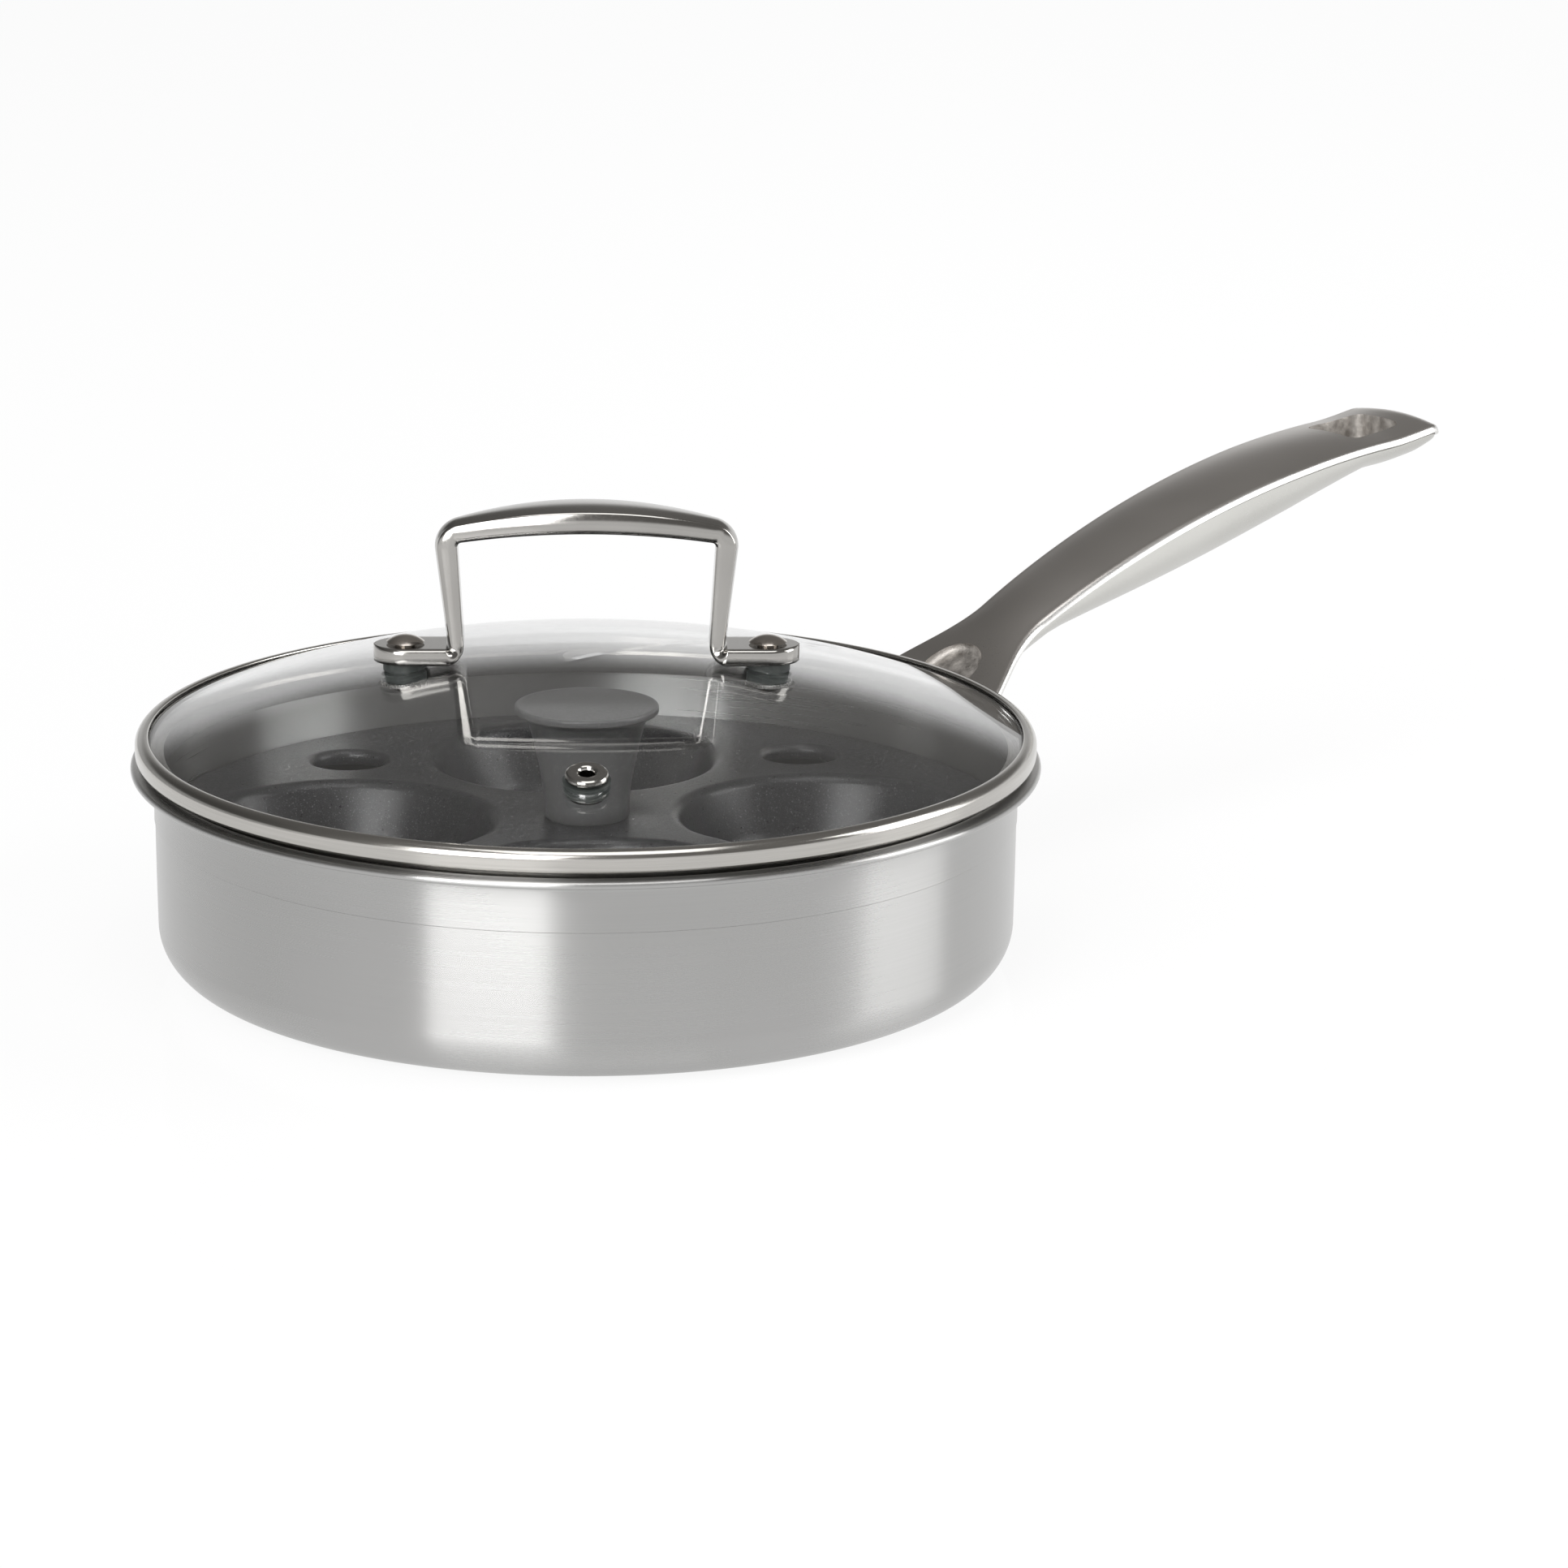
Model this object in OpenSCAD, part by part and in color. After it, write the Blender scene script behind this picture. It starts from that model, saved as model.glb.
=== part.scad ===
// Egg poacher pan: a stainless pan with a cast handle, a lift-out tray of egg cups and a glass lid.
// Origin at the centre of the base on the worktop, +Z up, the long handle along +X.

/* [Pan] */
// Outer diameter of the wall above the bottom corner
pan_d = 204; // [200:0.5:208]
// Height of the rim above the worktop
pan_h = 49.5; // [46:0.5:58]
// Thickness of the wall below the tray ledge
wall_t = 2.8; // [2.4:0.1:3.4]
// Thickness of the rolled wall above the tray ledge
rim_wall_t = 1.7; // [1.3:0.1:1.9]
// Thickness of the floor
floor_t = 3.2; // [2:0.2:5]
// Outer radius of the bottom corner
corner_r = 11; // [8:0.5:14]
// How much the radius shrinks from the ledge down to the corner
wall_taper = 0.3; // [0:0.1:0.8]
// Depth of the tray ledge below the rim
ledge_drop = 16.5; // [15:0.5:18]
// Depth of the fine line outside below the rim
line_drop = 13; // [12:0.5:14.5]
// Step of the fine line
line_step = 0.2; // [0.1:0.05:0.4]
// Reach of the pouring lip beyond the wall
lip_reach = 5.4; // [4.6:0.2:7]
// Radius under the flare of the lip
flare_r = 2; // [1:0.25:2.5]

/* [Pan handle] */
// Reach of the handle from the pan axis to its tip
handle_reach = 283; // [270:1:300]
// Height of the top of the handle at its tip above the rim
tip_rise = 44.3; // [36:0.1:50]
// Depth below the rim at which the top of the handle leaves the wall
root_depth = 11.5; // [10:0.1:14]
// Width of the flare where it meets the wall
root_w = 54; // [50:1:58]
// Width of the neck
neck_w = 23.3; // [19:0.1:26]
// Distance of the neck from the pan axis
neck_x = 139; // [134:0.5:146]
// Width of the grip at its widest
grip_w = 30.4; // [27:0.2:34]
// Length over which the grip widens from the neck
grip_run = 92.6; // [80:0.2:110]
// Thickness of the handle at its tip
tip_t = 10.5; // [8:0.5:12]
// Thickness of the polished edge of the top
edge_t = 3.4; // [2.6:0.1:4]
// Height of the underside at the neck above the rim
belly_over = 7.8; // [5:0.1:9]
// Rise of the underside for each millimetre of reach
belly_rise = 0.245; // [0.22:0.005:0.26]
// How far the underside bows down in the middle of the grip
belly_bow = 2.3; // [0:0.1:4]
// Length of the hanging hole along the handle
hang_l = 19; // [12:0.5:22]
// Width of the hanging hole at its end towards the pan
hang_w = 17.8; // [12:0.2:20]
// Width of the hanging hole at its end towards the tip
hang_end_w = 16.2; // [10:0.2:18]
// Corner radius of the hanging hole
hang_r = 3; // [2:0.5:4.5]
// Thickness of the flange on the wall
flange_t = 3.6; // [3:0.2:4.4]
// Height of the flange
flange_h = 27; // [24:0.5:29]
// Depth of the top of the flange below the rim
flange_drop = 10; // [9:0.5:11]
// Diameter of the shank of the handle rivets
rivet_d = 5.8; // [4.8:0.1:6.4]
// Diameter of the heads of the handle rivets
rivet_head_d = 11; // [9.5:0.5:12]
// Distance of the upper rivets from the sides of the flange
rivet_inset = 11.5; // [10.5:0.5:12.5]
// Depth of the upper rivets below the tray ledge
rivet_high_drop = 6.5; // [6:0.5:7]
// Depth of the lower rivet below the tray ledge
rivet_low_drop = 14.5; // [14:0.5:15]

/* [Tray] */
// Thickness of the tray sheet
tray_t = 1.2; // [0.9:0.1:1.6]
// Gap between the tray edge and the wall
tray_gap = 0.4; // [0.3:0.1:0.6]
// Turn of the tray about the pan axis
tray_turn = -37; // [-90:1:90]
// Number of egg cups
cups = 4; // [3:1:4]
// Distance of each cup from the pan axis
cup_ring = 56.5; // [55:0.5:57.5]
// Diameter of the mouth of a cup, over its rounded edge
cup_d = 74; // [66:0.5:76]
// Depth of a cup
cup_depth = 19; // [14:0.5:22]
// Radius of the rounded edge of a cup
cup_edge_r = 3.5; // [2:0.25:4.5]
// Diameter of the flat bottom of a cup
cup_floor_d = 38; // [30:1:44]
// Distance of the steam holes from the pan axis
steam_ring = 78.5; // [77:0.5:79.5]
// Clear diameter of a steam hole
steam_d = 17.8; // [12:0.2:19]
// Radius of the turned edge of a steam hole
steam_edge_r = 2; // [1.4:0.1:2.6]

/* [Knob] */
// Diameter of the top of the knob
knob_d = 34; // [30:0.5:38]
// Height of the knob above the tray
knob_h = 26.6; // [22:0.1:28]
// Diameter of the foot of the knob
knob_foot_d = 20; // [18:0.5:22]
// Diameter of the waist under the top
knob_neck_d = 28; // [25:0.5:29]
// Diameter of the screw thread
knob_screw_d = 5; // [4:0.5:6]
// Outer diameter of the threaded insert
insert_d = 9; // [8:0.5:11]
// Outer diameter of the washer
washer_d = 16; // [13:0.5:18]

/* [Lid] */
// Turn of the lid about the pan axis
lid_turn = -40; // [-90:1:90]
// How far the steel band stands in from the edge of the pouring lip
band_inset = 1.1; // [0.6:0.1:2]
// Height of the band
band_h = 5.6; // [5.4:0.1:6]
// Gap between the band and the pouring lip
lid_gap = 1.3; // [1:0.1:2]
// Thickness of the glass
glass_t = 3.2; // [2.6:0.1:3.3]
// Height of the crown of the glass above the edge of the glass
dome_rise = 19.24; // [18:0.02:20]
// Distance of the vent from the lid axis
vent_r = 77; // [66:1:80]
// Bore of the vent
vent_bore_d = 3.6; // [2.8:0.2:4.4]
// Diameter of the rim of the vent eyelet
vent_rim_d = 10; // [9.4:0.2:12]

/* [Lid handle] */
// Distance of the lid rivets from the lid axis
lid_rivet_x = 42.7; // [42:0.1:44.5]
// Width of the feet
foot_w = 15; // [13:0.5:16]
// Thickness of the feet
foot_t = 4; // [3.2:0.1:4.4]
// Thickness of the pads between the feet and the glass
pad_t = 2.3; // [1.8:0.1:3]
// Diameter of the pads
pad_d = 10.6; // [10:0.2:13]
// Height of the top of the bar above the feet
bar_rise = 33.5; // [28:0.5:39]
// Thickness of the bar
bar_t = 6; // [4:0.1:7]
// Width of the bar at its middle
bar_w = 16.5; // [12:0.5:18]
// Thickness of the legs at the feet
leg_t = 3.9; // [3:0.1:4.6]
// Half the distance between the legs at the feet
leg_x = 31.4; // [31:0.2:33]
// How far each leg leans out on its way up
leg_lean = 2.4; // [1:0.2:4]
// Drop of the bar from its middle to its corners
bar_arch = 3.2; // [2:0.2:5]
// Radius of the corners of the bar along its middle line
bar_corner_r = 4; // [3.4:0.2:6]
// Width of the bar at its corners
waist_w = 9.5; // [8.5:0.5:12]
// Diameter of the heads of the lid rivets
lid_rivet_head_d = 9; // [7.6:0.2:10]
// Diameter of the shank of the lid rivets
lid_rivet_d = 4.9; // [4:0.1:5.4]

/* [Hidden] */
$fn = 96;

// Clearances shared by the fits
fit = 0.05;
hole_fit = 0.1;
glass_fit = 0.3;
arc_steps = 10;
fine = 540;

// Pan, worked out from the sizes above
wall_r = pan_d / 2;
foot_r = wall_r - wall_taper;
rim_r = wall_r + line_step;
inner_r = foot_r - wall_t + wall_taper;
mouth_r = rim_r - rim_wall_t;
ledge_z = pan_h - ledge_drop;
line_z = pan_h - line_drop;
lip_r = rim_r + lip_reach;
flare_x = rim_r + flare_r;
flare_z = pan_h - rim_wall_t - flare_r;
inner_corner_r = corner_r - wall_t;

// Tray
tray_r = mouth_r - tray_gap;
tray_z = ledge_z + tray_t;
cup_floor_r = cup_floor_d / 2;
screw_hole_r = knob_screw_d / 2 + hole_fit;

// Knob and its screw
knob_top_z = tray_z + knob_h;
knob_edge_t = 1.5;
insert_h = 12;
insert_r = insert_d / 2;
washer_t = 1;
washer_z = ledge_z - washer_t;
screw_head_d = 9.5;
screw_head_h = 2.8;
screw_r = knob_screw_d / 2;

// Lid
band_r = lip_r - band_inset;
band_z = pan_h + lid_gap;
band_t = 0.75;
glass_r = band_r - 1.9;
glass_edge_h = 4.26;
dome_h = glass_edge_h + dome_rise;
dome_r = (glass_r * glass_r + dome_rise * dome_rise) / (2 * dome_rise);
dome_z = band_z + dome_h - dome_r;
skirt_r = mouth_r - 0.6;
skirt_drop = 4;
skirt_t = 0.8;
band_foot_in = 2.6;
band_foot_r = flare_x - band_foot_in;
band_foot_z = flare_z + sqrt(pow(flare_r + rim_wall_t, 2) - pow(band_foot_in, 2));
vent_tilt = asin(vent_r / dome_r);
vent_tube_r = vent_bore_d / 2 + 0.7;
vent_hole_r = vent_tube_r + 1.3;
grommet_t = 0.8;

// Lid handle
function dome_at(r) = dome_z + sqrt(dome_r * dome_r - r * r);
foot_z = dome_at(lid_rivet_x) + pad_t;
foot_top = foot_z + foot_t;
bar_mid_z = foot_top + bar_rise - bar_t / 2;
lid_rivet_r = lid_rivet_d / 2;
lower_pad_t = 2;
lid_washer_t = 0.9;
lid_washer_d = 11;
under_z = dome_at(lid_rivet_x) - glass_t - lower_pad_t;

// Points of an arc about [x, z] from one angle to another
function arc(x, z, r, from, to, steps = arc_steps) =
    [for (i = [0:steps]) let (a = from + (to - from) * i / steps) [x + r * cos(a), z + r * sin(a)]];

// Smooth rise from 0 to 1 between two places
function rise(x, from, to) = let (t = min(max((x - from) / (to - from), 0), 1)) t * t * (3 - 2 * t);

// Section through the pan: base, corner, wall, ledge line, flare and lip, then back down inside
module pan_section() {
    lip_half = rim_wall_t / 2;
    polygon(concat(
        [[0, 0]],
        arc(foot_r - corner_r, corner_r, corner_r, -90, 0),
        [[wall_r, line_z - line_step], [rim_r, line_z]],
        arc(flare_x, flare_z, flare_r, 180, 90),
        arc(lip_r - lip_half, pan_h - lip_half, lip_half, -90, 90, 6),
        arc(flare_x, flare_z, flare_r + rim_wall_t, 90, 180),
        [[mouth_r, ledge_z], [inner_r, ledge_z]],
        arc(inner_r - wall_taper - inner_corner_r, floor_t + inner_corner_r, inner_corner_r, 0, -90),
        [[0, floor_t]]
    ));
}

module pan_body() {
    color("silver")
    difference() {
        rotate_extrude($fn = 180) pan_section();
        for (p = handle_rivets)
            translate([0, p[0], p[1]])
                rotate([0, 90, 0])
                    cylinder(h = wall_r * 2, r = rivet_d / 2 + fit);
    }
}

// The three rivets of the handle as [y, z]
rivet_half = root_w / 2 - rivet_inset;
rivet_high_z = ledge_z - rivet_high_drop;
handle_rivets = [[rivet_half, rivet_high_z], [-rivet_half, rivet_high_z], [0, ledge_z - rivet_low_drop]];

// Top of the handle as a curve from the wall to the tip, t from 0 to 1
root_x = rim_r + 1.8;
root_z = pan_h - root_depth;
tip_z = pan_h + tip_rise;
belly_z = pan_h + belly_over;
root_lift = 12.5;
arch_share = 0.47;
arch_lift = 4;
handle_curve = [[root_x, root_z], [root_x, root_z + root_lift],
    [root_x + (handle_reach - root_x) * arch_share, tip_z + arch_lift], [handle_reach, tip_z]];
function blend3(p, t) = pow(1 - t, 3) * p[0] + 3 * pow(1 - t, 2) * t * p[1]
    + 3 * (1 - t) * t * t * p[2] + pow(t, 3) * p[3];

// Width, underside and belly of the handle at a reach x
tip_l = 8.75;
tip_start = handle_reach - tip_l;
tip_power = 4.1;
flare_w = 26;
flare_power = 1.9;
end_r = 5.85;
function side_w(x) = x < neck_x
    ? let (g = flare_w * pow((neck_x - x) / (neck_x - root_x), flare_power), room = 0.555 * (root_w - neck_w))
        neck_w + 2 * g / sqrt(1 + pow(g / room, 2))
    : let (s = min((x - neck_x) / grip_run, 1)) neck_w + (grip_w - neck_w) * s * (1.3 - 0.3 * s);
function tip_round(x) = x < tip_start
    ? 1
    : pow(max(1 - pow((x - tip_start) / tip_l, tip_power), 0.0004), 1 / tip_power);
function end_drop(x) = let (d = max(x - handle_reach + end_r, 0))
    0.79 * (end_r - sqrt(max(end_r * end_r - d * d, 0)));
// The top lifts a little round the hanging hole
end_lift = 3;
function top_lift(x) = end_lift * rise(x, handle_reach - 21, handle_reach + 9);
function handle_w(x) = side_w(x) * tip_round(x);
// Share of the handle's depth that is left towards the end, so that the underside of the tip is rounded
function tip_share(x) = 0.3 + 0.7 * sqrt(max(1 - pow(max(x - tip_start, 0) / tip_l, 2), 0));
root_drop = 19;
drop_end = 150;
bow_l = 110;
function belly_at(x) = belly_z + belly_rise * (x - drop_end)
    - belly_bow * sin(min(max((x - drop_end) / bow_l, 0), 1) * 180)
    - (x < drop_end ? root_drop * pow((drop_end - x) / (drop_end - root_x), 2.5) : 0);
function under_at(x, top) = min(belly_at(x), top - tip_t);
function rib_w(x, w) = min(w / 2 - 1.2, 9 + (w / 2 - 10.2) * rise(x, neck_x - 20, neck_x + 5));

// One cross-section of the handle: crowned top, polished edge, crease and rounded belly
crown = 1.25;
edge_r = 1.9;
function half_ring(w, depth, rib) =
    let (a = w / 2, e = min(edge_r, a * 0.5), soft = min(edge_t, depth * 0.5), flat = max(a - e, 0.01))
    concat(
        [for (i = [0:4]) [flat * i / 4, -crown * pow(i / 4, 2) * min(1, a / 8)]],
        [for (q = [67.5, 45, 22.5, 0]) [flat + e * cos(q), -crown * min(1, a / 8) - e + e * sin(q)]],
        [for (q = [0:15:75]) [min(rib, a * 0.95) * cos(q), -soft - (depth - soft) * sin(q)]],
        [[0, -depth]]
    );
function full_ring(h) = concat(h, [for (i = [len(h) - 2:-1:1]) [-h[i][0], h[i][1]]]);

// Stations along the handle, closer together at the root and the tip
steps = 40;
function station(i) = let (t = i / steps)
    t < 0.8 ? t / 0.8 * 0.95 : 0.95 + 0.05 * sin((t - 0.8) / 0.2 * 90);
function wrap(x, y) = (x - sqrt(x * x - y * y)) * (1 - rise(x, root_x + 4, neck_x - 3.5));
function handle_ring(t) =
    let (p = blend3(handle_curve, t), x = p[0], w = handle_w(x),
        top = p[1] + top_lift(x) - end_drop(x), depth = top - under_at(x, top))
    [for (q = full_ring(half_ring(w, depth * tip_share(x), rib_w(x, w))))
        [x - wrap(x, q[0]), q[0], top + q[1]]];

module handle_loft() {
    rings = [for (i = [0:steps]) handle_ring(station(i))];
    n = len(rings[0]);
    points = [for (r = rings) for (p = r) p];
    faces = concat(
        [[for (k = [n - 1:-1:0]) k]],
        [for (i = [0:steps - 1]) for (k = [0:n - 1]) for (s = [0, 1])
            let (a = i * n + k, b = i * n + (k + 1) % n)
            s == 0 ? [a, b, a + n] : [b, b + n, a + n]],
        [[for (k = [0:n - 1]) steps * n + k]]
    );
    polyhedron(points = points, faces = faces, convexity = 6);
}

// Outline of the flange seen along the handle: rounded corners on a shield
module flange_outline() {
    r = 6;
    top_z = pan_h - flange_drop;
    hull() {
        for (s = [-1, 1]) {
            translate([s * (root_w / 2 - r), top_z - r]) circle(r = r, $fn = 32);
            translate([s * (root_w / 2 - r - 11), top_z - flange_h + r]) circle(r = r, $fn = 32);
        }
    }
}

module handle_flange() {
    intersection() {
        difference() {
            cylinder(h = pan_h, r = rim_r + flange_t);
            translate([0, 0, -1]) cylinder(h = pan_h + 2, r = rim_r + hole_fit);
        }
        rotate([90, 0, 90])
            linear_extrude(height = wall_r * 2) flange_outline();
    }
}

// Hanging hole: wider towards the pan, with rounded corners
hang_x = handle_reach - 20;
module hang_hole() {
    end_x = hang_l / 2 - hang_r;
    linear_extrude(height = tip_z * 2)
        hull()
            for (s = [-1, 1]) {
                translate([hang_x - end_x, s * (hang_w / 2 - hang_r)]) circle(r = hang_r, $fn = 32);
                translate([hang_x + end_x, s * (hang_end_w / 2 - hang_r)]) circle(r = hang_r, $fn = 32);
            }
}

// Shallow cast pocket in the top of the root
pocket_r = 8.6;
pocket_long = 1.1;
pocket_t = 0.238;
pocket_depth = 1.9;
pocket_tilt = 34;
module root_pocket() {
    p = blend3(handle_curve, pocket_t);
    translate([p[0] + pocket_depth * sin(pocket_tilt), 0, p[1] - pocket_depth * cos(pocket_tilt)])
        rotate([0, -pocket_tilt, 0])
            scale([pocket_long, 1, 1]) cylinder(h = 12, r = pocket_r, $fn = 48);
}

module pan_handle() {
    color("rosybrown")
    difference() {
        union() {
            handle_flange();
            handle_loft();
        }
        translate([0, 0, -1]) cylinder(h = pan_h + 1, r = rim_r + hole_fit);
        hang_hole();
        root_pocket();
        for (p = handle_rivets)
            translate([0, p[0], p[1]])
                rotate([0, 90, 0]) {
                    cylinder(h = root_x * 1.5, r = rivet_d / 2 + fit);
                    translate([0, 0, rivet_tail_x(p[0])])
                        cylinder(h = 14, r = rivet_head_d / 2 - 0.6);
                }
    }
}

// Where the tail of a rivet starts, on the outer face of the flange
function rivet_tail_x(y) = sqrt(pow(rim_r + flange_t, 2) - y * y) - 0.7;
function rivet_head_x(y) = sqrt(pow(inner_r - wall_taper, 2) - pow(abs(y) + rivet_head_d / 2, 2));

// Low dome of a rivet head, its flat face at z = 0
module rivet_dome(d, h) {
    r = (d * d / 4 + h * h) / (2 * h);
    intersection() {
        translate([0, 0, h - r]) sphere(r = r);
        cylinder(h = h + 1, r = d / 2);
    }
}

module handle_rivet(p) {
    head_h = 2.2;
    tail_h = 1;
    base_h = 0.6;
    color("gainsboro")
    translate([0, p[0], p[1]])
        rotate([0, 90, 0]) {
            translate([0, 0, rivet_head_x(p[0]) - base_h]) cylinder(h = base_h, r = rivet_head_d / 2);
            translate([0, 0, rivet_head_x(p[0]) - base_h])
                rotate([180, 0, 0]) rivet_dome(rivet_head_d, head_h);
            translate([0, 0, rivet_head_x(p[0]) - fit])
                cylinder(h = rivet_tail_x(p[0]) - rivet_head_x(p[0]) + tail_h, r = rivet_d / 2);
            translate([0, 0, rivet_tail_x(p[0]) + fit]) cylinder(h = tail_h, r = rivet_head_d / 2 - 1);
        }
}

module handle_rivet_left() { handle_rivet(handle_rivets[0]); }
module handle_rivet_right() { handle_rivet(handle_rivets[1]); }
module handle_rivet_lower() { handle_rivet(handle_rivets[2]); }

// Bowl of an egg cup, the same shape shrunk by the sheet for the inside or left full for the outside
module cup_bowl(skin) {
    edge_z = tray_z - cup_edge_r;
    bottom_z = tray_z - cup_depth - skin;
    low_r = 11;
    rotate_extrude()
        polygon(concat(
            [[0, bottom_z]],
            arc(cup_floor_r, bottom_z + low_r + skin, low_r + skin, -90, -20, 6),
            arc(cup_d / 2, edge_z, cup_edge_r - skin, 172, 90, 6),
            [[cup_d / 2, tray_z], [cup_d / 2, tray_z + 1], [0, tray_z + 1]]
        ));
}

// Down-turned edge of a steam hole, as the solid collar or as the hole that is cut in it
module steam_edge(skin) {
    r = steam_d / 2 + steam_edge_r;
    z = tray_z - steam_edge_r;
    drop = 1.5;
    rotate_extrude()
        polygon(concat(
            [[0, z - drop - (skin > 0 ? 0 : 1)]],
            [[steam_d / 2 + skin, z - drop - (skin > 0 ? 0 : 1)]],
            arc(r, z, steam_edge_r - skin, 180, 90, 5),
            [[r, tray_z + (skin > 0 ? -skin : 1)], [0, tray_z + (skin > 0 ? -skin : 1)]]
        ));
}

module at_cups() {
    for (i = [0:cups - 1]) rotate([0, 0, i * 360 / cups]) translate([cup_ring, 0, 0]) children();
}

module at_steam_holes() {
    for (i = [0:cups - 1]) rotate([0, 0, (i + 0.5) * 360 / cups]) translate([steam_ring, 0, 0]) children();
}

module egg_tray() {
    edge_r = tray_t / 2;
    color("dimgray")
    rotate([0, 0, tray_turn])
        difference() {
            union() {
                rotate_extrude($fn = 180)
                    polygon(concat(
                        [[0, ledge_z]],
                        arc(tray_r - edge_r, ledge_z + edge_r, edge_r, -90, 90, 6),
                        [[0, tray_z]]
                    ));
                at_cups() intersection() {
                    cup_bowl(tray_t);
                    translate([0, 0, -1]) cylinder(h = tray_z + 1 - tray_t / 2, r = cup_d / 2);
                }
                at_steam_holes() steam_edge(tray_t);
            }
            at_cups() cup_bowl(0);
            at_steam_holes() steam_edge(0);
            cylinder(h = pan_h, r = screw_hole_r);
        }
}

module tray_knob() {
    foot_r = knob_foot_d / 2;
    neck_r = knob_neck_d / 2;
    top_r = knob_d / 2;
    edge_z = knob_top_z - knob_edge_t;
    color("black")
    rotate([0, 0, tray_turn])
        difference() {
            rotate_extrude()
                polygon(concat(
                    [[0, tray_z], [foot_r, tray_z], [foot_r, tray_z + 3]],
                    [[foot_r + (neck_r - foot_r) * 0.35, tray_z + (knob_h - 3) * 0.55]],
                    [[neck_r - 0.8, edge_z - 4], [neck_r, edge_z - 2.4], [top_r - 0.6, edge_z - 0.5]],
                    arc(top_r - 0.6, edge_z + 0.1, 0.6, -90, 0, 3),
                    arc(top_r - 1, knob_top_z - 1, 1, 0, 90, 4),
                    [[0, knob_top_z]]
                ));
            translate([0, 0, tray_z - 1]) cylinder(h = insert_h + 1.5, r = insert_r + fit);
        }
}

module knob_insert() {
    color("goldenrod")
    rotate([0, 0, tray_turn])
        difference() {
            translate([0, 0, tray_z + 0.3]) cylinder(h = insert_h, r = insert_r);
            translate([0, 0, tray_z]) cylinder(h = insert_h - 1.5, r = screw_r + fit);
        }
}

module knob_screw() {
    color("gainsboro")
    rotate([0, 0, tray_turn])
        difference() {
            union() {
                translate([0, 0, washer_z]) cylinder(h = insert_h, r = screw_r);
                translate([0, 0, washer_z]) rotate([180, 0, 0]) rivet_dome(screw_head_d, screw_head_h);
            }
            for (a = [0, 90])
                rotate([0, 0, a])
                    translate([-2.6, -0.5, washer_z - screw_head_h - 1]) cube([5.2, 1, 2.6]);
        }
}

module knob_washer() {
    color("silver")
    difference() {
        translate([0, 0, washer_z]) cylinder(h = washer_t, r = washer_d / 2);
        translate([0, 0, washer_z - 1]) cylinder(h = washer_t + 2, r = screw_hole_r);
    }
}

// Steel band: a rolled ring round the glass, a foot that stands on the lip and a skirt in the mouth
module band_section() {
    top_z = band_z + band_h;
    roll_r = 2.3;
    low_roll_r = 1.7;
    channel_r = glass_r + glass_fit;
    channel_z = top_z - 0.8;
    seat_r = channel_r - 3.4;
    polygon(concat(
        [[skirt_r - skirt_t, pan_h - skirt_drop], [skirt_r, pan_h - skirt_drop], [skirt_r, band_foot_z]],
        [[band_foot_r, band_foot_z], [band_foot_r, band_z]],
        arc(band_r - low_roll_r, band_z + low_roll_r, low_roll_r, -90, 0, 4),
        arc(band_r - roll_r, top_z - roll_r, roll_r, 0, 90, 6),
        [[channel_r - 1.6, top_z], [channel_r - 1.6, channel_z], [channel_r, channel_z]],
        [[channel_r, band_z + band_t], [seat_r, band_z + band_t], [seat_r, band_z]],
        [[skirt_r - skirt_t, band_z]]
    ));
}

module lid_band() {
    color("lightgray")
    rotate_extrude($fn = 180) band_section();
}

// Places a child on the outer face of the glass at the vent, standing square to the glass
module at_vent() {
    rotate([0, 0, lid_turn])
        translate([0, 0, dome_z])
            rotate([vent_tilt, 0, 0])
                translate([0, 0, dome_r])
                    children();
}

module lid_glass() {
    color("lightblue", 0.4)
    difference() {
        intersection() {
            translate([0, 0, dome_z]) sphere(r = dome_r, $fn = 180);
            translate([0, 0, band_z]) cylinder(h = dome_h + 1, r = glass_r, $fn = 180);
        }
        translate([0, 0, dome_z]) sphere(r = dome_r - glass_t, $fn = 180);
        for (s = [-1, 1])
            rotate([0, 0, lid_turn])
                translate([s * lid_rivet_x, 0, band_z])
                    cylinder(h = dome_h + 1, r = lid_rivet_r + glass_fit * 2);
        at_vent() translate([0, 0, -glass_t * 2]) cylinder(h = glass_t * 3, r = vent_hole_r + hole_fit);
    }
}

// Middle line of the bail in its own plane: arched bar, round corners, straight legs
bar_half = leg_x + leg_lean - bar_corner_r;
bar_curve_r = (bar_half * bar_half + bar_arch * bar_arch) / (2 * bar_arch);
bar_tilt = asin(bar_half / bar_curve_r);
leg_tilt = atan(leg_lean / (bar_rise - bar_arch - bar_corner_r));
corner_x = bar_half - bar_corner_r * sin(bar_tilt);
corner_z = bar_mid_z - bar_arch - bar_corner_r * cos(bar_tilt);
leg_foot_z = foot_top - foot_t / 2;
leg_top = [corner_x + bar_corner_r * cos(leg_tilt), corner_z - bar_corner_r * sin(leg_tilt)];
function bail_half() = concat(
    [for (i = [0:6]) let (a = 90 - bar_tilt * i / 6)
        [bar_curve_r * cos(a), bar_mid_z - bar_curve_r + bar_curve_r * sin(a), 90 - a]],
    [for (i = [1:6]) let (a = 90 - bar_tilt - (90 - bar_tilt + leg_tilt) * i / 6)
        [corner_x + bar_corner_r * cos(a), corner_z + bar_corner_r * sin(a), 90 - a]],
    [for (i = [1:5]) let (z = leg_top[1] + (leg_foot_z - leg_top[1]) * i / 5)
        [leg_top[0] - (leg_top[1] - z) * tan(leg_tilt), z, 90 + leg_tilt]]
);
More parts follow.
